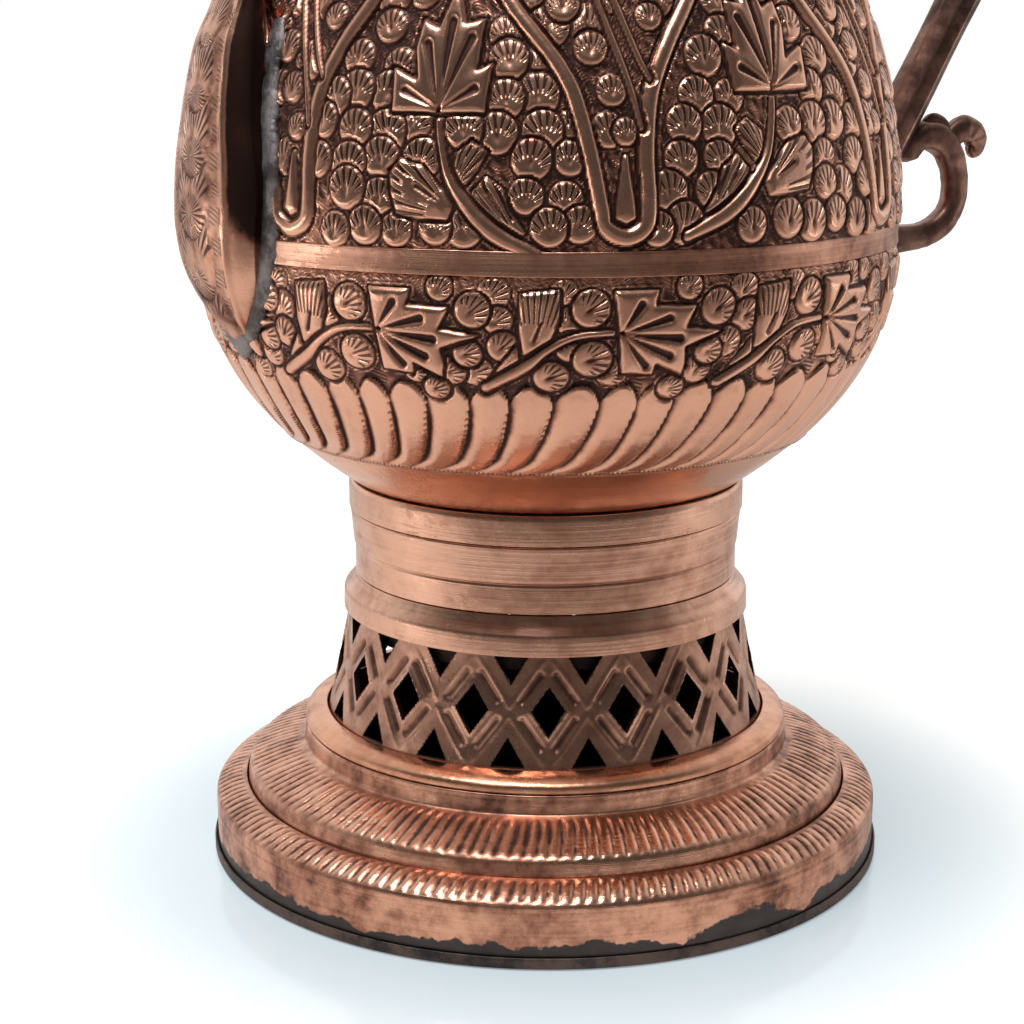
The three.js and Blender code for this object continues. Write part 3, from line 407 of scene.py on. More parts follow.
chased_copper = copper("chased_copper", RUBBED, BROWN, RECESS, 0.23, clouds=0.7)
turned_copper = copper("turned_copper", (0.82, 0.485, 0.35), (0.42, 0.20, 0.135), RECESS, 0.17, lines=0.12)
foot_copper = copper(
    "foot_copper", (0.82, 0.455, 0.315), (0.38, 0.175, 0.115), RECESS, 0.18,
    lines=0.10, clouds=0.8, grime=6.4,
)
warm_copper = copper("warm_copper", (0.84, 0.44, 0.28), (0.46, 0.20, 0.12), RECESS, 0.19, lines=0.04)
# Its recess colour darkens the grooves and is also the painted shade on the gallery's inner face.
strap_copper = copper("strap_copper", (0.72, 0.415, 0.30), (0.30, 0.15, 0.105), (0.08, 0.045, 0.035), 0.18)
# Its near-black recess colour is also the painted shade on the spout's flanks and in its bore.
spout_copper = copper(
    "spout_copper", (0.76, 0.425, 0.30), (0.34, 0.155, 0.105), (0.035, 0.018, 0.015), 0.26, clouds=0.8,
)
cast_copper = copper("cast_copper", (0.52, 0.29, 0.22), (0.17, 0.09, 0.07), (0.03, 0.02, 0.02), 0.24)
plain_copper = copper("plain_copper", RUBBED, BROWN, RECESS, 0.2, tone=False)
plain_cast = copper("plain_cast_copper", (0.55, 0.29, 0.21), (0.24, 0.11, 0.08), RECESS, 0.25, tone=False)


# %% Tin, soot and floor
def speckled(name, light, dark, scale, roughness, metallic, depth):
    """Two colours in blotches, over a grainy surface."""

    def blotch(graph):
        return graph.noise(place(graph), scale, 6, 0.7).between(0.38, 0.62)

    def height(graph):
        at = place(graph)
        return graph.noise(at, scale * 4, 5, 0.7) * depth

    return finish(
        name,
        lambda graph: graph.mix(blotch(graph), dark, light),
        lambda graph: blotch(graph) * 0.15 + roughness,
        metallic,
        height,
    )


tin_solder = speckled("tin_solder", (0.34, 0.315, 0.315), (0.085, 0.075, 0.075), 130, 0.40, 0.6, 0.5)
black_tin = speckled("blackened_tin", (0.16, 0.115, 0.10), (0.035, 0.034, 0.036), 70, 0.42, 0.8, 0.5)
sooty_iron = speckled("sooty_iron", (0.06, 0.055, 0.05), (0.012, 0.011, 0.011), 120, 0.62, 0.7, 0.6)
# Soot on the fire tube; on the lap inside the top ring the same dark finish is painted shade.
sooty_copper = speckled("sooty_copper", (0.09, 0.05, 0.04), (0.02, 0.015, 0.014), 60, 0.55, 0.8, 0.4)


FLOOR_GLOW = 0.50
SHEEN_NEAR, SHEEN_FAR = 0.10, 0.20  # the cool sheen round the foot fades between these radii, in metres


# Painted light on the floor: round the foot its colour, and the colour it glows with, turn a darker cool
# grey-blue, a painted reflection of the foot and painted shade round it.
def floor_colour_with_painted_shade(graph):
    away = graph.node("ShaderNodeVectorMath", {"operation": "LENGTH"}, {0: place(graph)}, "Value")
    return graph.mix(away.between(SHEEN_NEAR, SHEEN_FAR), (0.52, 0.60, 0.64), (0.97, 0.97, 0.97))


pale_floor = finish("pale_floor", floor_colour_with_painted_shade, 0.13, 0.0)
lit = pale_floor.node_tree.nodes["Principled BSDF"]
lit.inputs["Emission Strength"].default_value = FLOOR_GLOW
floor_graph = Graph(pale_floor.node_tree)
pale_floor.node_tree.links.new(floor_colour_with_painted_shade(floor_graph).socket, lit.inputs["Emission Color"])
ahead = floor_graph.node(
    "ShaderNodeVectorMath", {"operation": "DOT_PRODUCT"}, {0: place(floor_graph), 1: (*towards, 0)}, "Value",
)
far_floor = floor_graph.mix(ahead.between(0.11, 0.36), (0.88, 0.84, 0.80), (0.24, 0.21, 0.195))
in_copper = floor_graph.node("ShaderNodeBsdfDiffuse", None, {"Color": far_floor})
seen = floor_graph.node("ShaderNodeLightPath", output="Is Camera Ray")
shown = Wire(floor_graph, lit.outputs[0])
both = floor_graph.node("ShaderNodeMixShader", None, {0: seen, 1: in_copper, 2: shown})
pale_floor.node_tree.links.new(both.socket, pale_floor.node_tree.nodes["Material Output"].inputs[0])
floor.data.materials.append(pale_floor)
print("finishes:", sorted(m.name for m in bpy.data.materials if m.use_nodes))


# %% [markdown]
# ## From rings of points to a skin
# Almost every piece is a closed ring: its section is a closed loop, carried round the axis. A grid
# of points that wraps both ways makes that with no seam and no pole. The grid's rows that turn a
# corner are marked sharp, and each vertex takes its tone, phase and cut along.


# %% Skin
def skin(name, points, material, node, slot, body=FIXED, sharp_rows=(), **carried):
    """A quad skin over points[row, column], closed both ways, given in millimetres."""
    rows, columns = points.shape[:2]
    mesh = bpy.data.meshes.new(name)
    index = np.arange(rows * columns).reshape(rows, columns)
    right, up = np.roll(index, -1, 1), np.roll(index, -1, 0)
    quads = np.stack([index, right, np.roll(up, -1, 1), up], -1).reshape(-1)
    mesh.vertices.add(rows * columns)
    mesh.vertices.foreach_set("co", (points * MM).astype(np.float32).ravel())
    mesh.loops.add(len(quads))
    mesh.loops.foreach_set("vertex_index", quads.astype(np.int32))
    mesh.polygons.add(rows * columns)
    mesh.polygons.foreach_set("loop_start", np.arange(0, len(quads), 4, dtype=np.int32))
    mesh.update(calc_edges=True)
    mesh.validate()
    mesh.shade_smooth()
    if len(sharp_rows):
        ends = np.zeros(2 * len(mesh.edges), np.int32)
        mesh.edges.foreach_get("vertices", ends)
        row = ends.reshape(-1, 2) // columns
        marked = (row[:, 0] == row[:, 1]) & np.isin(row[:, 0], sharp_rows)
        sharp = mesh.attributes.new("sharp_edge", "BOOLEAN", "EDGE")
        sharp.data.foreach_set("value", marked)
    for field in ("tone", "phase", "cut"):
        value = carried.get(field, 0.62 if field == "tone" else 0.0)
        value = np.broadcast_to(np.asarray(value, np.float32), (rows, columns))
        attribute = mesh.attributes.new(field, "FLOAT", "POINT")
        attribute.data.foreach_set("value", np.ascontiguousarray(value).ravel())
    return piece(name, mesh, material, node, slot, body)


def piece(name, mesh, material, nodes, slot, body=FIXED):
    """An object for a finished mesh, riding on its body in the place of CAD nodes."""
    made = bpy.data.objects.new(name, mesh)
    mesh.materials.clear()
    mesh.materials.append(material)
    bpy.context.scene.collection.objects.link(made)
    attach(made, body)
    for node in [nodes] if isinstance(nodes, str) else nodes:
        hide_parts(node)
    return made


# %% [markdown]
# ## Turned hoops
# A hoop is a section of a few corners, each with its own rounding, because a turned or burnished
# edge is never a knife edge. The round stretches are short curves, and the long ones get extra
# rows so that the slight unroundness of handwork bends smoothly.

# %% Rounded sections
RNG = np.random.default_rng(7)


def smooth(share):
    share = np.clip(share, 0, 1)
    return share * share * (3 - 2 * share)


def rounded(corners, longest=2.5, turns=4):
    """A closed loop from (radius, height, rounding) corners."""
    points = np.array([c[:2] for c in corners], float)
    loop = []
    for i, (at, rounding) in enumerate(zip(points, [c[2] for c in corners])):
        before, after = points[i - 1] - at, points[(i + 1) % len(points)] - at
        far = [np.linalg.norm(v) for v in (before, after)]
        cut = min(rounding, 0.48 * far[0], 0.48 * far[1])
        start, end = at + before / far[0] * cut, at + after / far[1] * cut
        for share in np.linspace(0, 1, turns + 1) if cut > 0.02 else [0.5]:
            loop.append((1 - share) ** 2 * start + 2 * share * (1 - share) * at + share**2 * end)
    filled = []
    for i, at in enumerate(loop):
        after = loop[(i + 1) % len(loop)]
        count = max(1, math.ceil(np.linalg.norm(after - at) / longest))
        filled += [at + (after - at) * k / count for k in range(count)]
    return np.array(filled)


def revolve(section, columns, wobble=0.12, seed=1, sway=0.0):
    """Carries a section round the axis, a little out of true, and with `sway` a little up and down."""
    angle = np.arange(columns) * 2 * np.pi / columns
    lobes = np.random.default_rng(seed).uniform(-1, 1, (4, 2))
    out = sum(
        lobes[k, 0] * np.cos((k + 2) * angle + 3 * lobes[k, 1]) * wobble / (k + 1) for k in range(4)
    )
    radius = section[:, 0][:, None] + out[None, :]
    dip = sum(np.sin(k * angle + 4 * lobes[k % 4, 0]) / k for k in (3, 5, 8, 13, 21, 34)) * sway
    height = section[:, 1][:, None] + dip[None, :]
    return np.stack([radius * np.cos(angle), radius * np.sin(angle), height], -1)


def hoop(name, corners, material, slot, node=None, columns=240, body=FIXED, tone=0.62, **options):
    """Corners run up the outside and down the inside."""
    section = rounded(corners)
    points = revolve(section, columns, **options)
    shade = tone(section) if callable(tone) else tone
    shade = np.asarray(shade, float)
    shade = shade[:, None] if shade.ndim else shade
    return skin(name, points, material, node or name, slot, body, tone=shade)


# %% [markdown]
# ## The stand's plain hoops
# The bottom plate is the dark, tinned disc that the foot is soldered to. The collar is a rolled
# bead at the foot of the gallery. The top ring laps over the gallery's upper edge, and the neck
# above it has a turned line half way up.

# %% Bottom plate
plate_high = levels("bottom_plate")[1]
plate_radius = reach("bottom_plate")
foot_low, foot_high = levels("foot_lower_tier")
hoop("bottom_plate_visual", [
    (plate_radius, 0, 0.5), (plate_radius, plate_high, 0.3), (plate_radius - 0.6, plate_high, 0.2),
    (plate_radius - 0.6, foot_low - 0.3, 0.1), (1.0, foot_low - 0.3, 0), (1.0, 0, 0),
], black_tin, "tin_solder", node="bottom_plate", columns=180, wobble=0.05)

# %% Gallery collar
collar_low, collar_high = levels("gallery_collar")
collar_outer = reach("gallery_collar")
gallery_foot = reach("pierced_gallery")
hoop("gallery_collar_visual", [
    (collar_outer, collar_low, 0.4), (collar_outer - 0.1, collar_low + 2.0, 1.8),
    (collar_outer - 2.6, collar_high - 0.6, 2.0), (gallery_foot + 0.3, collar_high, 0.5),
    (gallery_foot + 0.3, collar_high - SHEET, 0.2), (collar_outer - SHEET, collar_low, 0.2),
], warm_copper, "copper_plain", node="gallery_collar")

# %% Top ring
ring_low, ring_high = levels("gallery_top_ring")
ring_outer = reach("gallery_top_ring")
neck_low, spigot_top = levels("stand_neck")
neck_outer = reach("stand_neck")
groove = neck_outer - SHEET
bead = ring_low + 0.55 * (ring_high - ring_low)
hoop("gallery_top_ring_visual", [
    (ring_outer, ring_low, 0.15), (ring_outer - 0.1, bead - 1.2, 1.5), (ring_outer - 0.3, bead, 1.2),
    (ring_outer - 1.7, bead + 1.5, 1.2), (groove + 0.5, ring_high - SHEET, 1.0), (groove, ring_high, 0.3),
    (groove - SHEET, ring_high, 0.2), (groove - SHEET, ring_high - SHEET, 0.3),
    (ring_outer - 0.9, bead, 0.5), (ring_outer - 0.9, ring_low, 0.1),
], turned_copper, "copper_plain", node="gallery_top_ring")

# %% Lap inside the top ring
# A dark sheet inside the top ring, behind the upper holes: painted shade where the inside of the stand shows
# through.
lap = ring_outer - 3.4
hoop("gallery_lap_visual", [
    (lap, ring_low - 4.6, 0.2), (lap, bead, 0.2), (lap - 0.7, bead, 0.2), (lap - 0.7, ring_low - 4.6, 0.2),
], sooty_copper, "copper_plain", node="gallery_top_ring", columns=120, wobble=0.0, tone=0.1)

# %% Stand neck
collar_bottom, collar_top = levels("vessel_collar")
neck_top = collar_bottom - 0.3
line = neck_low + 0.43 * (neck_top - neck_low)
spigot = neck_outer - SHEET + 0.1
hoop("stand_neck_visual", [
    (groove, neck_low, 0.2), (groove, line - 0.5, 0.3), (groove - 0.35, line, 0.2),
    (groove + 0.35, line + 0.5, 0.3),
    (neck_outer, neck_top - 0.4, 0.5), (neck_outer - 0.3, neck_top, 0.2), (spigot, neck_top, 0.1),
    (spigot, spigot_top, 0.2), (spigot - SHEET, spigot_top, 0.2),
    (groove - SHEET, line, 0.5), (groove - SHEET, neck_low, 0.2),
], turned_copper, "copper_plain", node="stand_neck", seed=4)

# %% Vessel collar
vessel_inner = spigot + 0.3
hoop("vessel_collar_visual", [
    (vessel_inner + SHEET, collar_bottom, 0.3), (vessel_inner + SHEET, collar_top - SHEET, 0.5),
    (vessel_inner + 0.5 * SHEET, collar_top, 0.3), (vessel_inner, collar_top, 0.2),
    (vessel_inner, collar_bottom, 0.2),
], turned_copper, "copper_plain", node="vessel_collar", seed=5)
print("plain hoops of the stand made")

# %% [markdown]
# ## The chased sheets
# A chaser draws on a flat roll of pattern. So does this: `Chased` is the sheet rolled out, rows up
# the outline and columns round the axis, and `press` strikes a shape into it. A shape says how far
# each point lies inside its edge; that one distance gives the raised face, the dark groove run
# round it with the liner punch, and what may pass under it.


# %% The rolled-out sheet
DEEPEST = 2.6  # the plain inner wall lies this far under the sheet


class Chased:
    """A sheet of the vessel as a height field in millimetres, with phase and cut for the hatching."""

    def __init__(self, heights, columns):
        self.z = np.asarray(heights, float)
        self.r = body_radius(self.z)
        climb = np.hypot(np.diff(self.r), np.diff(self.z))
        self.s = np.concatenate([[0], np.cumsum(climb)])
        slope = np.gradient(self.r, self.s), np.gradient(self.z, self.s)
        self.normal = np.stack([slope[1], -slope[0]], -1)
        self.step = 2 * np.pi / columns
        self.angle = np.arange(columns) * self.step
        shape = (len(self.z), columns)
        self.h, self.phase, self.cut = (np.zeros(shape) for _ in range(3))
        self.claimed = np.full(shape, -99.0)
        self.polish = 0.0

    def up(self, z):
        return float(np.interp(z, self.z, self.s))

    def press(self, azimuth, z, span, shape, turn=0.0, rim=0.85, sink=0.6, under=False):
        """Strikes a shape about its own origin. With `under` it passes below what is there."""
        level = self.up(z)
        rows = np.flatnonzero(np.abs(self.s - level) < span)
        if not len(rows):
            return
        across_wide = math.ceil(span / self.r[rows].min() / self.step)
        centre = math.radians(azimuth) / self.step
        steps = np.arange(math.floor(centre) - across_wide, math.floor(centre) + across_wide + 1)
        where = np.ix_(rows, steps % len(self.angle))
        x = (steps - centre)[None, :] * self.step * self.r[rows][:, None]
        y = np.broadcast_to((self.s[rows] - level)[:, None], x.shape)
        c, s = math.cos(math.radians(turn)), math.sin(math.radians(turn))
        edge, top, phase, cut = shape(x * c + y * s, y * c - x * s)
        cover = smooth((edge + rim + 0.5) / 0.5)
        if under:
            cover = cover * smooth((-self.claimed[where] - rim + 0.1) / 0.4)
        struck = np.where(edge > 0, top, -sink * np.sin(np.pi * np.clip(-edge / rim, 0, 1)))
        self.h[where] += (struck - self.h[where]) * cover
        self.phase[where] = np.where((cover > 0.3) & (edge > -0.6), phase, self.phase[where])
        self.cut[where] += (cut * (edge > 0) - self.cut[where]) * cover
        self.claimed[where] = np.maximum(self.claimed[where], edge)

    def tone(self):
        near, wide = blurred(self.h, 3), blurred(self.h, 9)
        return np.clip(0.60 + self.polish + (self.h - near) * 0.95 + (self.h - wide) * 0.26, 0.08, 1)

    def piece(self, name, low, high, material, node, slot):
        """The rows between two heights as a closed band with a plain inner wall."""
        rows = np.flatnonzero((self.z >= low - 1e-6) & (self.z <= high + 1e-6))
        behind = rows[:: max(1, len(rows) // 3)][::-1]
        behind = np.unique(np.append(behind, [rows[0], rows[-1]]))[::-1]
        h = np.concatenate([self.h[rows], np.full((len(behind), self.h.shape[1]), -DEEPEST)])
        chosen = np.concatenate([rows, behind])
        radius = self.r[chosen][:, None] + self.normal[chosen, 0][:, None] * h
        level = self.z[chosen][:, None] + self.normal[chosen, 1][:, None] * h
        level[len(rows) :] = self.z[behind][:, None]
        points = np.stack([radius * np.cos(self.angle), radius * np.sin(self.angle), level], -1)
        blank = np.zeros((len(behind), self.h.shape[1]))
        tone, phase, cut = (
            np.concatenate([a[rows], blank + b])
            for a, b in ((self.tone(), 0.3), (self.phase, 0), (self.cut, 0))
        )
        ends = [0, len(rows) - 1]
        return skin(name, points, material, node, slot, sharp_rows=ends, tone=tone, phase=phase, cut=cut)


def nearest(heights, level):
    """The row of a sheet that lies nearest to a height."""
    return np.argmin(abs(heights - level))


def blurred(field, width):
    """A soft average over `width` cells each way; the columns wrap and the end rows repeat."""
    weights = np.exp(-0.5 * (np.arange(-2 * width, 2 * width + 1) / width) ** 2)
    weights /= weights.sum()
    rows = np.pad(field, ((2 * width, 2 * width), (0, 0)), "edge")
    up = sum(w * rows[i : i + len(field)] for i, w in enumerate(weights))
    return sum(w * np.roll(up, i - 2 * width, 1) for i, w in enumerate(weights))


# %% [markdown]
# ## The punches
# Each function below returns a shape. Its four values are the distance inside the edge, the height
# of its face, the count of hatch lines and where they are struck.


# %% Distances
def in_polygon(points, x, y):
    """Distance inside a polygon, negative outside it."""
    square = np.full(x.shape, 1e9)
    inside = np.zeros(x.shape, bool)
    for (ax, ay), (bx, by) in zip(points, points[1:] + points[:1]):
        ex, ey = bx - ax, by - ay
        t = np.clip(((x - ax) * ex + (y - ay) * ey) / (ex * ex + ey * ey), 0, 1)
        square = np.minimum(square, (x - ax - t * ex) ** 2 + (y - ay - t * ey) ** 2)
        if ay != by:
            crossing = ((ay <= y) != (by <= y)) & (x < ex * (y - ay) / ey + ax)
            inside ^= crossing
    return np.where(inside, 1, -1) * np.sqrt(square)


def in_stroke(path, x, y):
    """Distance inside a stroke of changing half width, from (x, y, half width) points."""
    best = np.full(x.shape, -99.0)
    run = np.zeros(x.shape)
    before = 0.0
    for (ax, ay, aw), (bx, by, bw) in zip(path, path[1:]):
        ex, ey = bx - ax, by - ay
        length = math.hypot(ex, ey)
        t = np.clip(((x - ax) * ex + (y - ay) * ey) / length**2, 0, 1)
        edge = aw + (bw - aw) * t - np.hypot(x - ax - t * ex, y - ay - t * ey)
        run = np.where(edge > best, before + t * length, run)
        best = np.maximum(best, edge)
        before += length
    return best, run


def curved(points, count=6):
    """A smooth path through its points, as many numbers to a point as it has."""
    points = np.array(points, float)
    ends = np.vstack([2 * points[0] - points[1], points, 2 * points[-1] - points[-2]])
    path = []
    for a, b, c, d in zip(ends, ends[1:], ends[2:], ends[3:]):
        for t in np.arange(count) / count:
            path.append(0.5 * (2 * b + (c - a) * t + (2 * a - 5 * b + 4 * c - d) * t**2
                               + (3 * b - a - 3 * c + d) * t**3))
    return [tuple(p) for p in path] + [tuple(points[-1])]


# %% Shell, leaf, fan leaf, stem and strap
def shell(size, rise=1.0, spread=0.30):
    """A round boss with lines that fan out from its foot, and a proud lower lip."""

    def shape(x, y):
        edge = size - np.hypot(x, y * 0.96)
        foot = y + 0.62 * size
        angle, far = np.arctan2(x, foot), np.hypot(x, foot) / size
        top = rise * (1 - np.exp(-edge / 0.45)) * (0.82 - 0.26 * y / size)
        top = top - 0.45 * np.exp(-((x / 0.45) ** 2) - ((y + 0.1 * size) / (0.3 * size)) ** 2)
        cut = smooth((far - 0.62) / 0.2) * smooth((edge - 0.25) / 0.4) * smooth((1.15 - abs(angle)) / 0.12)
        return edge, top, angle / spread, cut

    return shape


def leaf(outline, veins, rise=1.0, flip=1):
    """A chinar leaf: a raised face with drop-shaped veins struck from its foot."""

    def shape(x, y):
        x = x * flip
        edge = in_polygon(outline, x, y)
        top = rise * (1 - np.exp(-edge / 0.45)) + 0.05 * np.clip(edge, 0, 3)
        for vx, vy in veins:
            t = np.clip((x * vx + y * vy) / (vx * vx + vy * vy), 0, 1)
            width = 0.34 + 0.95 * t**1.2
            top = top - (0.55 + 0.45 * t) * smooth(1.25 - np.hypot(x - t * vx, y - t * vy) / width)
        return edge, top, x * 0, x * 0

    return shape


def fan_leaf(outline, foot, slot=None, rise=0.9, lines=0.15, margin=2.6, start=5.0, flip=1):
    """A leaf whose outer margin is hatched with lines that fan out from its foot."""

    def shape(x, y):
        x = x * flip
        edge = in_polygon(outline, x, y)
        dx, dy = x - foot[0], y - foot[1]
        angle, far = np.arctan2(dx, dy), np.hypot(dx, dy)
        top = rise * (1 - np.exp(-edge / 0.5)) + 0.06 * np.clip(edge, 0, 3)
        if slot:
            ax, ay, bx, by = slot
            ex, ey = bx - ax, by - ay
            t = np.clip(((x - ax) * ex + (y - ay) * ey) / (ex**2 + ey**2), 0, 1)
            from_slot = np.hypot(x - ax - t * ex, y - ay - t * ey)
            top = top - 0.6 * smooth(1.3 - from_slot / (0.4 + 0.4 * (1 - t)))
        cut = smooth((margin - edge) / 0.4) * smooth((edge - 0.05) / 0.3) * smooth((far - start) / 0.6)
        return edge, top, angle / lines, cut

    return shape


def stem(path, rise=0.85, round_over=0.5, flip=1):
    """A rounded stroke that changes its width along the path."""
    path = curved(path)

    def shape(x, y):
        edge, run = in_stroke(path, x * flip, y)
        top = rise * (1 - np.exp(-np.clip(edge, 0, 9) / round_over))
        return edge, top, run / 1.1, run * 0

    return shape


STRAP_RISE = 1.25


def strap(path):
    """A half-round strap, as the cartouches have."""
    path = curved(path)
    half = max(p[2] for p in path)

    def shape(x, y):
        edge, run = in_stroke(path, x, y)
        share = np.clip(1 - edge / half, 0, 1)
        return edge, STRAP_RISE * np.sqrt(1 - 0.94 * share**2), run * 0, run * 0

    return shape


print("punches ready")

# %% [markdown]
# ## Lower belly
# A plain burnished bowl rises to a stippled line. Above it stand comma-shaped gadroons, each
# lapping the next like scales, with their arched tops under a frieze of leaves and shells. The
# gadroons are one formula: the line between two of them is a logarithmic curve, so it runs nearly
# level at the foot and stands up straight at the top.

# %% Gadroons
GADROONS = 55
GADROON_LINE = 121.8  # height of the stippled line
GADROON_TOP = 141.6  # height where neighbouring lobes part
GADROON_ARCH = 0.24  # the arch above that, as a share of the lobe's height
GADROON_SWEEP = 2.8
GADROON_DEPTH = 1.7
ROW = 0.5
COLUMNS = 1200


def climb_rows(low, high, step):
    """Heights that lie `step` apart along the belly's outline."""
    z = np.linspace(low, high, 2000)
    s = np.concatenate([[0], np.cumsum(np.hypot(np.diff(z), np.diff(body_radius(z))))])
    return np.interp(np.linspace(0, s[-1], round(s[-1] / step) + 1), s, z)


plain_rows = climb_rows(belly_bottom, GADROON_LINE - 1.5, 1.2)[:-1]
lower = Chased(np.concatenate([plain_rows, climb_rows(GADROON_LINE - 1.5, belly_top, ROW)]), COLUMNS)
line_s, part_s = lower.up(GADROON_LINE), lower.up(GADROON_TOP)
v = ((lower.s - line_s) / (part_s - line_s))[:, None]
pitch = 2 * np.pi / GADROONS
sweep = math.radians(GADROON_SWEEP) * np.log((np.clip(v, 0, 2) + 0.02) / 1.02)
wander = 0.06 * np.sin(lower.angle * 7) + 0.05 * np.sin(lower.angle * 17 + 1)
turn_count = (lower.angle - math.radians(FRONT) - sweep) / pitch + wander
u = turn_count - np.floor(turn_count)
crest = GADROON_ARCH * np.sin(np.pi * u) ** 0.7
inside = (1 + crest - v) * (part_s - line_s)
depth = GADROON_DEPTH * smooth(v / 0.22) * (0.45 + 0.55 * smooth((1.15 - v) / 0.5))
lobe = depth * (np.sin(np.pi / 2 * np.clip(u / 0.5, 0, 1)) - 1) - 0.25 * smooth((u - 0.8) / 0.2) + 0.45
valley = -0.75 * smooth(1 - abs(inside + 0.45) / 0.6)
ground = -0.45
raised = smooth(inside / 0.5) * (v > 0)
lower.h = np.where(v > 0, ground + (lobe - ground) * raised + valley * (v > 0.85), 0.0)
lower.h += 0.35 * smooth(1 - abs(lower.s - line_s)[:, None] / 0.9)
lower.phase = np.where(v > 0.9, lower.s[:, None] / 1.05 + 3 * u, lower.s[:, None] / 0.9 + 0 * u)
left_half = smooth((u - 0.5) / 0.1)
lower.cut = left_half * smooth((-inside - 0.9) / 0.3) * smooth((inside + 6) / 0.5) * (v > 0.9)
beside = smooth((u - 0.90) / 0.04) * smooth((0.6 - v) / 0.1) * (v > 0.02) * 0.8
lower.cut = np.maximum(lower.cut, beside)
stipple = smooth(1.2 - abs(lower.s - line_s)[:, None] / 0.8)
lower.phase = np.where(stipple > 0, lower.angle[None, :] / (2 * np.pi) * 400, lower.phase)
lower.cut = np.maximum(lower.cut, stipple * 0.9)
print(f"{GADROONS} gadroons, {pitch * body_radius(GADROON_TOP):.1f} mm apart at the top")

# %% Frieze
FRIEZE_LEAVES = 10
FRIEZE_LEVEL = 160.0
FRIEZE_TURN = 9.8
FRIEZE_LEAF = [
    (-1.75, 10.1), (9, 10.1), (8.4, 6.5), (18.6, 6), (16.2, 1), (25.6, -0.6), (16.1, -4.1), (16.4, -8.2),
    (15.5, -11.7), (8.8, -8.2), (8.2, -11), (0.35, -10.3), (-0.3, -1.5),
]
FRIEZE_VEINS = [(4.8, 6.9), (11.6, 3.3), (14.4, -1.7), (12, -6), (6.2, -8.4)]
FRIEZE_STEM = [
    (-31, -14, 1.4), (-22.4, -8.6, 1.5), (-17.6, -4.4, 1.0), (-11.2, -0.9, 0.85), (-4, 0, 0.8), (0.5, 0, 0.6),
]
FRIEZE_BRANCH = [(-29, -12.5, 1.6), (-25, -7, 2.0), (-21.6, -2.5, 2.0)]
UPRIGHT_FAN = [(-23, -5.5), (-24.2, 1), (-24, 9.6), (-14.6, 10.6), (-14.4, 3.4), (-16.4, -1.6), (-20.6, -5)]
FRIEZE_SHELLS = [
    (-7.2, 5.9, 4.3, -62), (-16.4, -10.6, 4.2, -66), (-6.6, -6.3, 4.4, -70), (24.2, 5.4, 4.3, -58),
    (16.4, 10.6, 3.2, -40), (22.6, -5.2, 3.6, -80), (14.0, -14.0, 3.2, -75),
]


GROUND_PUNCH = {"rim": 0.6, "sink": 0.45, "under": True}


def hand():
    """A few per cent of unevenness, the same on every run."""
    return RNG.uniform(-1, 1)


def frieze_repeat(azimuth):
    def at(x):
        return azimuth + math.degrees(x / float(body_radius(FRIEZE_LEVEL)))

    fan = fan_leaf(UPRIGHT_FAN, (-20.5, -9), (-20.4, -1.6, -18.8, 3), lines=0.085, margin=9, start=11.5)
    lower.press(azimuth, FRIEZE_LEVEL, 36, stem(FRIEZE_BRANCH, 0.8))
    lower.press(azimuth, FRIEZE_LEVEL, 36, fan)
    lower.press(azimuth, FRIEZE_LEVEL, 36, stem(FRIEZE_STEM, 0.9))
    lower.press(azimuth, FRIEZE_LEVEL, 30, leaf(FRIEZE_LEAF, FRIEZE_VEINS, 1.1), turn=2 * hand())
    for x, y, size, turn in FRIEZE_SHELLS:
        size = size * (1 + 0.05 * hand())
        lower.press(at(x), FRIEZE_LEVEL + y, size + 2, shell(size, 0.85), turn=turn + 12 * hand(), under=True)


for k in range(FRIEZE_LEAVES):
    frieze_repeat(FRONT + FRIEZE_TURN + 360 / FRIEZE_LEAVES * k)
filled = 0
for row, z in enumerate(np.arange(150.5, belly_top - 2.5, 6.3)):
    count = round(2 * math.pi * float(body_radius(z)) / 7.6)
    for i in range(count):
        azimuth = 360 * (i + 0.5 * (row % 2) + 0.15 * hand()) / count
        column = round(math.radians(azimuth) / lower.step) % COLUMNS
        size = 3.7 * (1 + 0.1 * hand())
        if lower.claimed[nearest(lower.z, z), column] < -0.5:
            lower.press(azimuth, z, size + 2, shell(size, 0.8), turn=-50 + 25 * hand(), **GROUND_PUNCH)
            filled += 1
print(filled, "small shells fill the frieze")
above_lobes = smooth((lower.s - lower.up(150.0)) / 2)[:, None] * (lower.claimed < -0.5)
ticks = np.sin(lower.angle[None, :] * 190 + lower.s[:, None] * 1.1)
lower.h += above_lobes * (0.2 + 0.12 * ticks)
wavy = lower.s[:, None] / 0.9 + np.sin(lower.angle[None, :] * 37) * 2
lower.phase = np.where(above_lobes > 0.3, wavy, lower.phase)
lower.cut = np.maximum(lower.cut, above_lobes * smooth((ticks + 0.1) / 0.4) * 0.7)
edge_line = smooth(1 - abs(lower.z - belly_top)[:, None] / 0.8)
lower.h -= 0.5 * edge_line
lower.polish = 0.20 * (1 - smooth((lower.s - part_s) / 4)[:, None])
split = lower.z[nearest(lower.z, 147.0)]
bowl_top = lower.z[nearest(lower.z, GADROON_LINE - 1.2)]
lower.piece("lower_belly_bowl", 0, bowl_top, warm_copper, "lower_belly", "copper_chased")
lower.piece("lower_belly_gadroons", bowl_top, split, chased_copper, "lower_belly", "copper_chased")
lower.piece("lower_belly_frieze", split, 999, chased_copper, "lower_belly", "copper_chased")
print(f"lower belly: {lower.h.shape} cells, relief {lower.h.min():.2f} to {lower.h.max():.2f} mm")

# %% [markdown]
# ## Belly band
# The two bowls meet in a plain hoop, beaten a little wavy when it was closed over the seam.

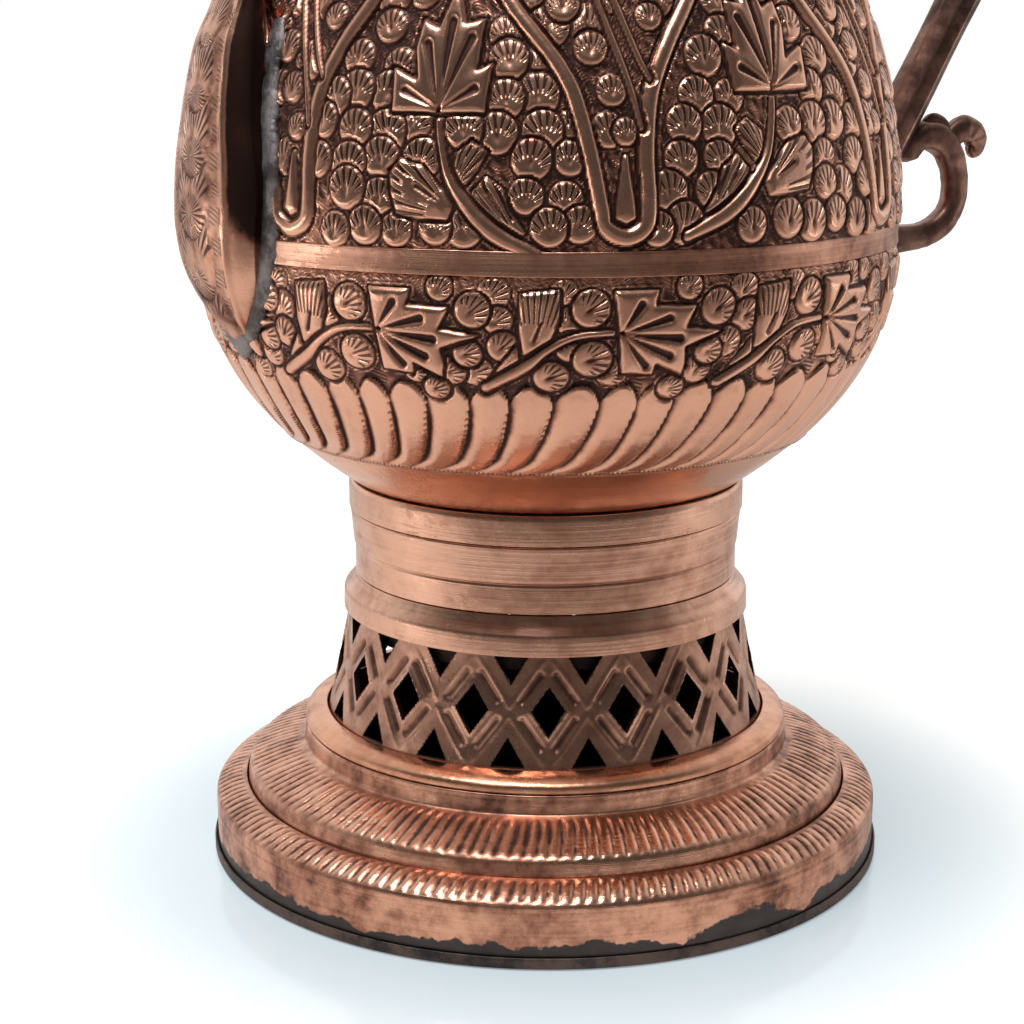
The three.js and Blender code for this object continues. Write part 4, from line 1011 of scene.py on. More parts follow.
# %% Belly band
band_low, band_high = levels("belly_band")
BAND_WIDE = reach("belly_band")
hoop("belly_band_visual", [
    (BAND_WIDE + 0.1, band_low - 0.5, 0.4), (BAND_WIDE - 0.1, (band_low + band_high) / 2, 2.2),
    (BAND_WIDE + 0.1, band_high + 0.5, 0.4), (BAND_WIDE - 2.8, band_high, 0.2),
    (BAND_WIDE - 2.8, band_low, 0.2),
], turned_copper, "copper_plain", node="belly_band", wobble=0.35, sway=0.35, seed=9, tone=0.5)

# %% [markdown]
# ## Upper body
# Seven tulip-shaped cartouches stand on the band. Between them grow chinar leaves on curved stems
# with fan leaves at their sides, on a ground of shells. The big shapes are pressed first and the
# shells pass under them, which is how a chaser fills a ground.

# %% Upper field
CARTOUCHES = 7
CARTOUCHE_TURN = 10.2
CARTOUCHE_SHIFT = -26.9  # degrees from a cartouche to the leaf beside it
BORDER_LOW, BORDER_HIGH = 262.0, 270.0
upper = Chased(np.concatenate([
    climb_rows(field_bottom, BORDER_LOW, ROW)[:-1], climb_rows(BORDER_LOW, neck_level, 0.8),
]), COLUMNS)
upper.h[:] = -0.5
CARTOUCHE = [
    (-35, 265, 1.9), (-33, 254, 1.9), (-29, 243, 1.9), (-23.4, 233, 1.9), (-13.4, 219, 1.9),
    (-9.2, 206, 1.9), (-6.0, 190, 1.9), (-4.6, 184.6, 1.9), (0, 182.3, 2.0), (4.6, 184.6, 1.9),
    (5.5, 190, 1.9), (5.1, 202, 1.9),
    (6.6, 215, 1.9), (11.2, 226, 1.9), (17, 236, 1.9), (22, 246, 1.9), (25, 256, 1.9), (26, 265, 1.9),
]
BLADE = [(0, 185.2), (2.6, 186.6), (2.3, 190), (0.5, 201), (-0.4, 201), (-2.4, 190), (-2.8, 186.6)]
REED = [(4.0, 207, 0.7), (1.0, 218, 0.75), (-4.5, 234, 0.8), (-9, 250, 0.8), (-12, 265, 0.8)]
REED_BESIDE = [(6.4, 218, 0.6), (3.4, 224, 0.7), (-1.8, 238, 0.75), (-6, 252, 0.8), (-9, 265, 0.8)]
CARTOUCHE_SHELLS = [
    (0.2, 206.3, 3.1), (-2.8, 215.5, 3.6), (-7.2, 225, 3.9), (-13, 234.6, 4.0), (-17, 244, 4.2),
    (-21, 254, 4.2),
    (7.0, 232, 3.2), (9.6, 241.5, 4.0), (6.0, 250, 3.8), (13, 255, 4.0),
]


def relative(points, level):
    """Heights turned into climbs along the sheet from a level."""
    start = upper.up(level)
    return [(p[0], upper.up(p[1]) - start, *p[2:]) for p in points]


def cartouche(azimuth):
    middle = 220.0
    upper.press(azimuth, middle, 60, strap(relative(CARTOUCHE, middle)), rim=1.1, sink=0.8)
    upper.press(azimuth, middle, 60, stem(relative(REED, middle), 0.7, 0.3), rim=0.6)
    upper.press(azimuth, middle, 60, stem(relative(REED_BESIDE, middle), 0.7, 0.3), rim=0.6)
    upper.press(azimuth, middle, 60, fan_leaf(relative(BLADE, middle), (0, -60), rise=0.8, margin=0), rim=0.8)
    for x, z, size in CARTOUCHE_SHELLS:
        beside = azimuth + math.degrees(x / float(body_radius(z)))
        made = shell(size * (1.04 + 0.04 * hand()))
        upper.press(beside, z, size + 2, made, turn=6 * hand(), **GROUND_PUNCH)


# %% Chinar leaves and their stems
LEAF_LEVEL = 213.5
LEAF = [
    (0, -0.6), (-11.8, -0.6), (-11.8, 10.2), (-5.8, 7.3), (-6.7, 14.5), (-5.2, 21.4), (-1.3, 19.6),
    (0.6, 25.0),
    (2.6, 29.5), (4.2, 25.0), (5.2, 20.6), (9.6, 21.4), (9.0, 14), (8.8, 9.6), (12.2, 11.2), (11.0, -0.6),
]
LEAF_VEINS = [(-8.4, 4.4), (-3.5, 15.3), (2.1, 20.8), (6.9, 17), (8.4, 5)]
LEAF_STEM = [
    (0, 0, 0.7), (0.4, -4.6, 0.75), (1.7, -11.2, 0.9), (3.3, -15.8, 1.1), (6.4, -20.5, 1.5), (11, -25.5, 1.9),
    (16.4, -29.3, 1.9), (25.7, -33.5, 1.3),
]
LEFT_FAN = [
    (4.6, -21.6), (2.5, -19.3), (-3.3, -12.5), (-9.1, -11.0), (-11.8, -14.2), (-11.4, -19.5), (-9.8, -24.0),
    (-3.3, -25.0), (3.0, -25.2),
]
RIGHT_FAN = [
    (19.1, -30.0), (10.2, -22.6), (8.7, -18.3), (11.8, -14.8), (16.2, -17.8), (17.6, -22.2), (21.3, -27.8),
]
TIP_FAN = [(4.0, -14.6), (4.3, -9.6), (8.4, -6.6), (12.2, -9.2), (9.6, -13.8), (6.4, -17.6)]


def leaf_spray(azimuth, flip):
    level = LEAF_LEVEL - 2.6 if flip > 0 else LEAF_LEVEL + 2.0

    def press(shape, span, **options):
        upper.press(azimuth, level, span, shape, **options)

    press(fan_leaf(LEFT_FAN, (5.5, -24.5), (-4.6, -17.4, 0.8, -20.6), flip=flip, start=7.5, margin=3.6), 40)
    press(fan_leaf(RIGHT_FAN, (21.5, -31.5), (12.8, -19.6, 15.4, -23.4), flip=flip, start=7, margin=3.2), 45)
    press(fan_leaf(TIP_FAN, (3.4, -18.5), flip=flip, start=4, margin=3), 30)
    press(stem(LEAF_STEM, 0.95, flip=flip), 50, rim=1.0)
    press(leaf(LEAF, LEAF_VEINS, 1.15, flip=flip), 40, rim=1.1, sink=0.8, turn=2 * hand())


for k in range(CARTOUCHES):
    azimuth = FRONT + CARTOUCHE_TURN + 360 / CARTOUCHES * k
    cartouche(azimuth)
    leaf_spray(azimuth + CARTOUCHE_SHIFT, 1 if k % 2 == 0 else -1)

# %% Ground of shells
SHELL = 4.5
SHELL_ROW = 7.7
SHELL_PITCH = 8.9
levels_up = np.arange(upper.up(field_bottom) + 5.2, upper.up(BORDER_LOW) - 3, SHELL_ROW)
struck = 0
for row, level in enumerate(levels_up):
    z = float(np.interp(level, upper.s, upper.z))
    radius = float(body_radius(z))
    count = round(2 * math.pi * radius / SHELL_PITCH)
    for i in range(count):
        azimuth = 360 * (i + 0.5 * (row % 2) + 0.24 * hand()) / count
        height = z + 1.3 * hand()
        size = SHELL * (1 + 0.12 * hand())
        column = round(math.radians(azimuth) / upper.step) % COLUMNS
        if upper.claimed[nearest(upper.z, height), column] > -0.6:
            continue
        upper.press(azimuth, height, size + 2, shell(size), turn=18 * hand(), **GROUND_PUNCH)
        struck += 1
print(struck, "ground shells struck")
bare = smooth((-upper.claimed - 0.5) / 0.4) * (upper.claimed < -0.5)
flecks = np.sin(upper.angle[None, :] * 231 + upper.s[:, None] * 0.9)
flecks = flecks + np.sin(upper.s[:, None] * 1.7 + upper.angle[None, :] * 97)
upper.h += bare * (0.22 + 0.10 * flecks)
wavy = upper.s[:, None] / 0.9 + np.sin(upper.angle[None, :] * 41) * 2
upper.phase = np.where(bare > 0.3, wavy, upper.phase)
upper.cut = np.maximum(upper.cut, bare * smooth((flecks - 0.2) / 0.4) * 0.7)

# %% Border and petals above
PETALS = 28
border = smooth((upper.z - BORDER_LOW) / 0.8) * smooth((BORDER_HIGH - upper.z) / 0.8)
flat = smooth((upper.z - BORDER_LOW + 1) / 1.0)[:, None]
upper.h = upper.h * (1 - flat) + (0.55 * border - 0.1)[:, None] * flat
ticks = (smooth((upper.z - BORDER_LOW - 2) / 0.4) * smooth((BORDER_HIGH - 2 - upper.z) / 0.4))[:, None]
slanted = upper.angle[None, :] / (2 * np.pi) * 300 + upper.s[:, None] * 0.5
upper.phase = np.where(flat > 0.5, slanted, upper.phase)
upper.cut = upper.cut * (1 - flat) + ticks
petal_pitch = 2 * math.pi / PETALS
HALF_PETAL = [(0.42, 0), (0.44, 0.30), (0.33, 0.62), (0.14, 0.86)]
PETAL = [(-x, y) for x, y in HALF_PETAL] + [(0, 1.0)] + HALF_PETAL[::-1]
petal_start = upper.up(BORDER_HIGH + 1.5)
petal_length = upper.s[-1] - petal_start - 2.5
for k in range(PETALS):
    width = petal_pitch * float(body_radius(BORDER_HIGH + 14))
    outline = [(x * width, y * petal_length) for x, y in PETAL]
    shape = leaf(outline, [(0, 0.82 * petal_length)], 0.9)
    upper.press(360 / PETALS * k, BORDER_HIGH + 1.5, petal_length + 2, shape)
bands = [field_bottom, 207.0, 235.0, BORDER_LOW + 1.5, neck_level]
bands = [upper.z[nearest(upper.z, b)] for b in bands]
for name, low, high in zip(("low", "middle", "high", "petals"), bands, bands[1:]):
    upper.piece("upper_body_" + name, low, high, chased_copper, "upper_body", "copper_chased")
print(f"upper body: {upper.h.shape} cells, relief {upper.h.min():.2f} to {upper.h.max():.2f} mm")

# %% [markdown]
# ## Fluted ledges
# The foot's two ledges are struck with radial flutes all round, and so are the cup, the lid and the
# cap. That is one rule, so one Geometry Nodes tree does all of them: between two radii it pushes
# the surface along its normal by a wave that has `Count` crests. A fade at both ends leaves the
# plain metal alone, and the same wave is stored as the tone.


# %% The flute tree
def geometry_tree(name, **numbers):
    """A tree that takes a mesh, some numbers and a material, with its graph and its input wires."""
    tree = bpy.data.node_groups.new(name, "GeometryNodeTree")
    tree.interface.new_socket("Geometry", in_out="INPUT", socket_type="NodeSocketGeometry")
    for label, start in numbers.items():
        kind = "NodeSocketInt" if isinstance(start, int) else "NodeSocketFloat"
        tree.interface.new_socket(label, in_out="INPUT", socket_type=kind).default_value = start
    tree.interface.new_socket("Finish", in_out="INPUT", socket_type="NodeSocketMaterial")
    tree.interface.new_socket("Geometry", in_out="OUTPUT", socket_type="NodeSocketGeometry")
    graph = Graph(tree)
    given = tree.nodes.new("NodeGroupInput")
    return graph, {socket.name: Wire(graph, socket) for socket in given.outputs if socket.name}


def flute_tree():
    graph, inputs = geometry_tree(
        "radial_flutes", Count=180.0, Inner=0.05, Outer=0.06, Depth=0.001, Curl=0.0, Sharp=0.7,
        Lowest=0.0, Drift=0.0,
    )
    spot = graph.node("GeometryNodeInputPosition")
    split = graph.node("ShaderNodeSeparateXYZ", None, {0: spot})
    x, y, z = (Wire(graph, split.socket.node.outputs[i]) for i in range(3))
    radius = (x * x + y * y) ** 0.5
    angle = x.maths("ARCTAN2", y, x)
    share = (radius - inputs["Inner"]) / (inputs["Outer"] - inputs["Inner"])
    above = z.maths("GREATER_THAN", z, inputs["Lowest"])
    fade = share.maths("MINIMUM", share, 1 - share) * 7.0
    fade = fade.maths("MINIMUM", fade.maths("MAXIMUM", fade, 0.0), 1.0) * above
    heading = graph.node("ShaderNodeCombineXYZ", None, {"X": x / radius, "Y": y / radius})
    drift = (graph.noise(heading, 9, 3, 0.6) - 0.5) * inputs["Drift"]
    bend = angle + (share ** 2) * inputs["Curl"] + drift
    wave = bend.maths("ABSOLUTE", bend.maths("SINE", bend * inputs["Count"] * 0.5)) ** inputs["Sharp"]
    push = (wave - 0.62) * inputs["Depth"] * fade
    normal = graph.node("GeometryNodeInputNormal")
    offset = graph.node("ShaderNodeVectorMath", {"operation": "SCALE"}, {0: normal, "Scale": push})
    tone = 0.62 + (wave * 0.75 - 0.58) * fade
    toned = graph.node(
        "GeometryNodeStoreNamedAttribute", {"data_type": "FLOAT", "domain": "POINT"},
        {"Geometry": inputs["Geometry"], "Name": "tone", "Value": tone},
    )
    moved = graph.node("GeometryNodeSetPosition", None, {"Geometry": toned, "Offset": offset})
    real = graph.node("GeometryNodeRealizeInstances", None, {"Geometry": moved})
    done = graph.node("GeometryNodeSetMaterial", None, {"Geometry": real, "Material": inputs["Finish"]})
    graph.node("NodeGroupOutput", None, {"Geometry": done})
    return graph.tree


FLUTES = flute_tree()


def settled(made, tree, **values):
    """Runs a tree on a piece and keeps the result as its plain mesh."""
    modifier = made.modifiers.new("nodes", "NODES")
    modifier.node_group = tree
    for item in tree.interface.items_tree:
        if item.item_type == "SOCKET" and item.in_out == "INPUT" and item.name in values:
            modifier[item.identifier] = values[item.name]
    evaluated = made.evaluated_get(bpy.context.evaluated_depsgraph_get())
    mesh = bpy.data.meshes.new_from_object(evaluated)
    made.modifiers.remove(modifier)
    made.data = mesh
    return made


def fluted(made, count, inner, outer, depth, lowest=0.0, curl=0.0, sharp=0.7, drift=0.0):
    material = made.data.materials[0]
    settled(
        made, FLUTES, Count=float(count), Inner=inner * MM, Outer=outer * MM, Depth=depth * MM,
        Lowest=lowest * MM, Curl=curl, Sharp=sharp, Drift=drift, Finish=material,
    )
    print(made.name, count, "flutes,", len(made.data.polygons), "faces")
    return made


def with_rows(section, inner, outer, above, step=0.75):
    """Adds rows where the flutes will be, so that their ends are crisp."""
    filled = []
    for at, after in zip(section, np.roll(section, -1, 0)):
        middle = (at + after) / 2
        fine = inner - 0.5 <= middle[0] <= outer + 0.5 and middle[1] >= above
        count = max(1, math.ceil(np.linalg.norm(after - at) / step)) if fine else 1
        filled += [at + (after - at) * k / count for k in range(count)]
    return np.array(filled)


# %% Foot, lower tier
FLUTE_COLUMNS = 6
LOWER_FLUTES = 180
UPPER_FLUTES = 157
ledge_high = foot_high
ledge_edge = foot_low + 15
ledge_inner = foot_radius - 8.7
section = rounded([
    (foot_radius, foot_low, 0.3), (foot_radius + 0.05, ledge_edge - 2, 1.5),
    (foot_radius, ledge_edge + 0.2, 1.3),
    (foot_radius - 4.2, ledge_edge + 2.9, 3.0), (ledge_inner, ledge_high, 0.4),
    (ledge_inner, ledge_high - SHEET, 0.2), (foot_radius - SHEET, ledge_edge - 0.6, 1.0),
    (foot_radius - SHEET, foot_low, 0.2),
])
section = with_rows(section, ledge_inner, foot_radius, ledge_edge)
tier = skin(
    "foot_lower_tier_visual", revolve(section, LOWER_FLUTES * FLUTE_COLUMNS, 0.12, 11), foot_copper,
    "foot_lower_tier", "copper_plain",
)
fluted(
    tier, LOWER_FLUTES, ledge_inner + 0.8, foot_radius - 0.4, 0.70, ledge_edge - 0.2,
    curl=0.014, sharp=0.42, drift=0.03,
)

# %% Foot, upper tier
riser_low, band_top = levels("foot_upper_tier")
riser_radius = reach("foot_upper_tier")
riser_top = ledge_high + 4.3
inner_top = band_top - 5.3
band_radius = collar_outer
section = rounded([
    (riser_radius, riser_low, 0.2), (riser_radius - 0.4, ledge_high + 1.6, 1.2),
    (riser_radius - 1.0, riser_top, 1.2),
    ((riser_radius + band_radius) / 2 - 0.6, riser_top + 3.5, 4.0), (band_radius + 0.3, inner_top, 0.7),
    (band_radius, band_top, 0.5), (band_radius - SHEET, band_top, 0.2),
    (band_radius - SHEET, inner_top - SHEET, 0.4),
    (riser_radius - 2.4, riser_top - SHEET, 0.8), (riser_radius - SHEET, riser_low, 0.2),
])
section = with_rows(section, band_radius, riser_radius, ledge_high + 3)
tier = skin(
    "foot_upper_tier_visual", revolve(section, UPPER_FLUTES * FLUTE_COLUMNS, 0.12, 12), foot_copper,
    "foot_upper_tier", "copper_plain",
)
fluted(
    tier, UPPER_FLUTES, band_radius + 1.6, riser_radius - 0.8, 0.75, ledge_high + 3.4,
    curl=0.016, sharp=0.42, drift=0.03,
)

# %% [markdown]
# ## Pierced gallery
# The gallery lets air in under the fire. A chisel cut diamonds and triangles out of a plain hoop,
# and a liner punch ran a groove down each strap between them. The hoop is a rolled-out sheet once
# more, with the grooves pressed in as relief, and one boolean takes all the holes out.

# %% Gallery hoop
GALLERY_CELLS = 18
GALLERY_TURN = -2.0
DIAMOND = (9.4, 12.8)
TRIANGLE = (9.0, 7.4)
gallery_low, gallery_high = levels("pierced_gallery")
gallery_top_radius = ring_outer - 1.2
open_low, open_high = collar_high, ring_low
cell = 2 * math.pi / GALLERY_CELLS
gallery_columns = GALLERY_CELLS * 36
gallery_z = np.linspace(gallery_low, gallery_high, 60)


def gallery_radius(z):
    t = np.clip((z - gallery_low) / (open_high - gallery_low), 0, 1)
    return gallery_foot + (gallery_top_radius - gallery_foot) * (1 - (1 - t) ** 1.25)


hoop_angle = np.arange(gallery_columns) * 2 * math.pi / gallery_columns
local = (hoop_angle - math.radians(GALLERY_TURN)) / cell
local = (local - np.round(local)) * cell
radii = gallery_radius(gallery_z)
x = local[None, :] * radii[:, None]
y = np.broadcast_to((gallery_z - (open_low + open_high) / 2)[:, None], x.shape)
tilt = math.atan2(DIAMOND[0], DIAMOND[1])
across_strap = abs(x) * math.cos(tilt) + abs(y) * math.sin(tilt)
hole_edge = DIAMOND[0] / 2 * math.cos(tilt)
strap_middle = hole_edge + 3.3
along_strap = abs(y) * math.cos(tilt) - abs(x) * math.sin(tilt)
groove_depth = smooth(1.15 - abs(across_strap - strap_middle) / 1.25)
groove_depth = groove_depth * smooth((along_strap + 3.4) / 1.2) * smooth((7.6 - along_strap) / 1.2)
rim_rise = 0.35 * smooth(1 - (across_strap - hole_edge) / 1.1) * (across_strap > hole_edge - 0.3)
relief = rim_rise - 0.80 * groove_depth
relief += 0.22 * smooth(1 - abs(across_strap - strap_middle - 1.7) / 0.7)
relief *= smooth((gallery_z - open_low - 0.3) / 1.5)[:, None]
relief *= smooth((open_high - 0.3 - gallery_z) / 1.5)[:, None]
inner_z = gallery_z[::-6]
outer_ring = np.stack([radii[:, None] + relief, np.broadcast_to(gallery_z[:, None], relief.shape)], -1)
inner_shape = (len(inner_z), gallery_columns)
inner_ring = np.stack([
    np.broadcast_to((gallery_radius(inner_z) - SHEET)[:, None], inner_shape),
    np.broadcast_to(inner_z[:, None], inner_shape),
], -1)
both_rings = np.concatenate([outer_ring, inner_ring])
points = np.stack([
    both_rings[..., 0] * np.cos(hoop_angle), both_rings[..., 0] * np.sin(hoop_angle), both_rings[..., 1],
], -1)
# The inner face gets tone 0.15 and shows dark: painted shade inside the stand, seen through the holes.
gallery_tone = np.concatenate([0.52 - 0.22 * groove_depth + rim_rise, np.full(inner_shape, 0.15)])
gallery = skin(
    "pierced_gallery_visual", points, strap_copper, "pierced_gallery", "copper_cast",
    sharp_rows=[0, len(gallery_z) - 1], tone=np.clip(gallery_tone, 0, 1),
)


# %% Gallery holes
def plug(outline, azimuth, near, far):
    """A prism of an outline drawn in (across, up), pointing out at an azimuth."""
    c, s = math.cos(azimuth), math.sin(azimuth)
    points = []
    for radius in (near, far):
        for across_at, up_at in outline:
            points.append(((radius * c - across_at * s) * MM, (radius * s + across_at * c) * MM, up_at * MM))
    n = len(outline)
    sides = [(i, (i + 1) % n, n + (i + 1) % n, n + i) for i in range(n)]
    return points, [tuple(range(n))[::-1], tuple(range(n, 2 * n)), *sides]


middle = (open_low + open_high) / 2
holes = []
for k in range(GALLERY_CELLS):
    turn = k * cell + math.radians(GALLERY_TURN)
    w, h = (size / 2 * (1 + 0.03 * hand()) for size in DIAMOND)
    nudge = 0.25 * hand()
    holes.append(([(w, middle + nudge), (nudge, middle + h), (-w, middle), (0, middle - h)], turn))
    w, h = TRIANGLE[0] / 2, TRIANGLE[1]
    top, foot = open_high - 0.3, open_low + 0.3
    holes.append(([(w, top), (-w, top), (0.3 * hand(), top - h)], turn + cell / 2))
    holes.append(([(-w, foot), (w, foot), (0.3 * hand(), foot + h)], turn + cell / 2))
vertices, faces = [], []
for outline, turn in holes:
    made, sides = plug(outline, turn, gallery_top_radius - 12, gallery_foot + 10)
    faces += [tuple(i + len(vertices) for i in side) for side in sides]
    vertices += made
cutter_mesh = bpy.data.meshes.new("gallery_cutter")
cutter_mesh.from_pydata(vertices, [], faces)
cutter = bpy.data.objects.new("gallery_cutter", cutter_mesh)
bpy.context.scene.collection.objects.link(cutter)
boolean = gallery.modifiers.new("holes", "BOOLEAN")
boolean.operation = "DIFFERENCE"
boolean.solver = "EXACT"
boolean.object = cutter
evaluated = gallery.evaluated_get(bpy.context.evaluated_depsgraph_get())
pierced = bpy.data.meshes.new_from_object(evaluated)
gallery.modifiers.remove(boolean)
gallery.data = pierced
bpy.data.objects.remove(cutter)
gallery.data.set_sharp_from_angle(angle=math.radians(52))
print("gallery:", len(holes), "holes,", len(pierced.polygons), "faces")

# %% [markdown]
# ## Spout
# The spout is a folded and hammered tube with a teardrop root. Its outer face is chased, its flanks
# are plain, and a burnished ridge runs between them. Its tone paints light as well: a painted
# highlight along the ridge and on the flanks' lower tongue, painted shade on the flanks beside the
# belly and inside the bore. Sections from the root's tip to the lip are smoothed into a fine grid,
# and a cosine with a flat on the outside gives the three faces.


# %% Stations of the spout
def cubic_through(values, count):
    """Evenly spaced samples of a smooth curve through rows of numbers."""
    return np.array(curved([tuple(v) for v in values], count))


SPOUT_HALF = 19
SPOUT_NECK_HALF = 10
SPOUT_DEPTH = 20.2
SPOUT_STAND_OFF = 10.9
spout_foot = belly_level - 25
spout_neck_x = float(body_radius(belly_level + 58)) + 1.6 + 4.7
spout_lip_x = belly_radius + 43
spout_top = neck_level + 30


def spout_root(rise, share, width):
    z = spout_foot + rise
    front = min(float(body_radius(z)), belly_radius) + SPOUT_STAND_OFF * share
    deep = SPOUT_DEPTH - abs(rise - 36) / 8
    return (front - deep / 2, z, deep / 2, SPOUT_HALF * width)


def spout_neck(out, rise, share):
    return (
        spout_neck_x + (spout_lip_x - spout_neck_x) * out,
        belly_level + 58 + (spout_top - belly_level - 58) * rise,
        4.7 * (1 - share) + 5.8 * share,
        SPOUT_NECK_HALF * (1 - share) + 5.8 * share,
    )


stations = [
    spout_root(0, 0.02, 0.1), spout_root(4, 0.3, 0.38), spout_root(10, 0.6, 0.66), spout_root(18, 0.85, 0.88),
    spout_root(27, 0.97, 0.98), spout_root(36, 1, 1), spout_root(45, 1.02, 0.95), spout_root(54, 1.06, 0.82),
    spout_root(63, 1.1, 0.74), spout_root(72, 1.14, 0.64), spout_neck(0, 0, 0), spout_neck(-0.05, 0.13, 0.1),
    spout_neck(-0.02, 0.28, 0.2), spout_neck(0.1, 0.43, 0.35), spout_neck(0.3, 0.58, 0.5),
    spout_neck(0.54, 0.72, 0.65), spout_neck(0.78, 0.85, 0.8), spout_neck(1, 1, 1),
]
line_of = cubic_through(stations, 18)
run = np.gradient(line_of[:, :2], axis=0)
lean = np.arctan2(run[:, 0], run[:, 1])
SPOUT_COLUMNS = 120
around = np.arange(SPOUT_COLUMNS) * 2 * np.pi / SPOUT_COLUMNS
faceting = smooth((spout_top - 12 - line_of[:, 1]) / 30)[:, None]
RIDGE = math.radians(46)
flat_face = np.minimum(1.0, math.cos(RIDGE) / np.maximum(0.05, np.cos(around)))
flat_face = np.where(abs(around - np.pi) > np.pi / 2, flat_face, 1.0)
FLATNESS = 0.35
flattened = FLATNESS * (np.minimum(flat_face * 1.16, 1.10) - 1)
section_out = 1 + flattened[None, :] * faceting * (np.cos(around) > 0)[None, :]
ridge_gap = np.minimum(abs(around - RIDGE), abs(around - (2 * np.pi - RIDGE)))
ridge = 0.55 * smooth(1 - ridge_gap / 0.13)[None, :] * faceting

# %% Spout surface
out = line_of[:, 2][:, None] * np.cos(around)[None, :] * section_out + ridge * np.cos(around)
side = line_of[:, 3][:, None] * np.sin(around)[None, :] * section_out + ridge * np.sin(around)
climb = np.concatenate([[0], np.cumsum(np.hypot(*np.diff(line_of[:, :2], axis=0).T))])
face_x = side
face_y = np.broadcast_to(climb[:, None], side.shape)
on_face = smooth((np.cos(around)[None, :] - math.cos(RIDGE) - 0.02) / 0.06) * faceting
spray = np.zeros(side.shape)
spray_phase = np.zeros(side.shape)
spray_cut = np.zeros(side.shape)
for level in np.arange(14, climb[-1] - 20, 13.5):
    size = 0.42 * float(np.interp(level, climb, line_of[:, 3])) + 1.0
    edge, top, phase, cut = shell(size, 0.35, 0.2)(face_x, (face_y - level) * 0.75)
    cover = smooth((edge + 0.7) / 0.5) * on_face
    groove = -0.4 * np.sin(np.pi * np.clip(-edge / 0.7, 0, 1))
    spray += (np.where(edge > 0, top, groove) - spray) * cover
    spray_phase = np.where(edge > -0.3, phase, spray_phase)
    spray_cut = np.maximum(spray_cut, cut * (edge > 0) * on_face)
between = on_face * (spray == 0)
spray_phase = np.where(between > 0, face_y / 1.1 + abs(face_x) * 0.35, spray_phase)
spray_cut = np.maximum(spray_cut, between * smooth((abs(np.sin(face_y * 0.47 + 1.3)) - 0.55) / 0.1) * 0.6)
centre_x = line_of[:, 0][:, None] + (out + spray) * np.cos(lean)[:, None]
centre_z = line_of[:, 1][:, None] - (out + spray) * np.sin(lean)[:, None]
shell_points = np.stack([-centre_x, side, centre_z], -1)
skin_depth = np.maximum(body_radius(shell_points[..., 2]) - 1.6, 1.0)
from_axis = np.hypot(shell_points[..., 0], shell_points[..., 1])
beside_body = shell_points[..., 2] < belly_level + 62
scale_out = np.where(beside_body, np.maximum(1.0, skin_depth / from_axis), 1.0)
shell_points[..., :2] *= scale_out[..., None]
lip = line_of[-1]
bore = []
for i in range(len(line_of) - 1, 20, -9):
    x, z, deep, half = line_of[i]
    share = 0.92 if i == len(line_of) - 1 else 0.80
    inner = share * np.minimum(section_out[i], 1.0)
    bore.append(np.stack([
        -(x + deep * inner * np.cos(around) * math.cos(lean[i])),
        half * inner * np.sin(around),
        z - deep * inner * np.cos(around) * math.sin(lean[i]),
    ], -1))
root_end = shell_points[0].mean(0)
bore.append(root_end + (shell_points[0] - root_end) * 0.3)
points = np.concatenate([shell_points, np.array(bore)])[:, ::-1]
level_of = line_of[:, 1][:, None]
facing_out = np.cos(around)[None, :]
flank = smooth((0.66 - facing_out) / 0.06) * smooth((facing_out + 0.5) / 0.2) * (1 - smooth(ridge / 0.3))
# Painted shade: above this level the flanks are darkened, as the spout shades them beside the belly.
flank_shade_level = belly_level - 6 + 10 * facing_out
flank_painted_shade = flank * smooth((level_of - flank_shade_level) / 12) * faceting
# The ridge adds a painted highlight on top of its burnish, the raised shells are lighter, and the flanks take
# the painted shade.
tone_with_painted_light = 0.56 + 0.42 * ridge / 0.55 + blurred(spray, 1) * 0.25 - 0.52 * flank_painted_shade
# Painted highlight: the flanks' lower tongue, below the belly's widest line, is lightened.
tone_with_painted_light += 0.30 * flank * smooth((belly_level + 2 - level_of) / 8)
# The bore inside the tube takes tone 0.1: painted shade.
spout_tone = np.concatenate([tone_with_painted_light, np.full((len(bore), SPOUT_COLUMNS), 0.1)])[:, ::-1]
padded_rows = ((0, len(bore)), (0, 0))
skin(
    "spout_visual", points, spout_copper, "spout", "copper_chased", tone=np.clip(spout_tone, 0, 1),
    phase=np.pad(spray_phase, padded_rows)[:, ::-1], cut=np.pad(spray_cut, padded_rows)[:, ::-1],
)
print("spout:", points.shape[0], "rows of", SPOUT_COLUMNS)


# %% [markdown]
# ## Sweeps
# Bars, beads of solder and scrolls are one section carried along a line. The frame at each step
# keeps its sideways direction level, which is enough for lines that never run straight up for long.


# %% Sweep
def sweep(name, path, section, material, slot, nodes, tone=0.5, sideways=None):
    """Carries section(step, count) -> (out, side) pairs along a path of points, with closed ends."""
    path = np.asarray(path, float)
    run = np.gradient(path, axis=0)
    run /= np.linalg.norm(run, axis=1)[:, None]
    sideways = np.array([0.0, 1.0, 0.0]) if sideways is None else np.asarray(sideways, float)
    side = sideways - (run @ sideways)[:, None] * run if sideways.ndim == 1 else sideways
    side = side / np.linalg.norm(side, axis=1)[:, None]
    out = np.cross(side, run)
    rings = []
    for i, at in enumerate(path):
        o, s = section(i / (len(path) - 1))
        rings.append(at + o[:, None] * out[i] + s[:, None] * side[i])
    ends = [path[0] + (rings[0] - path[0]) * 0.02, *rings, path[-1] + (rings[-1] - path[-1]) * 0.02]
    shade = tone if np.isscalar(tone) else np.concatenate([tone[:1], tone, tone[-1:]])
    return skin(name, np.array(ends), material, nodes, slot, tone=shade)


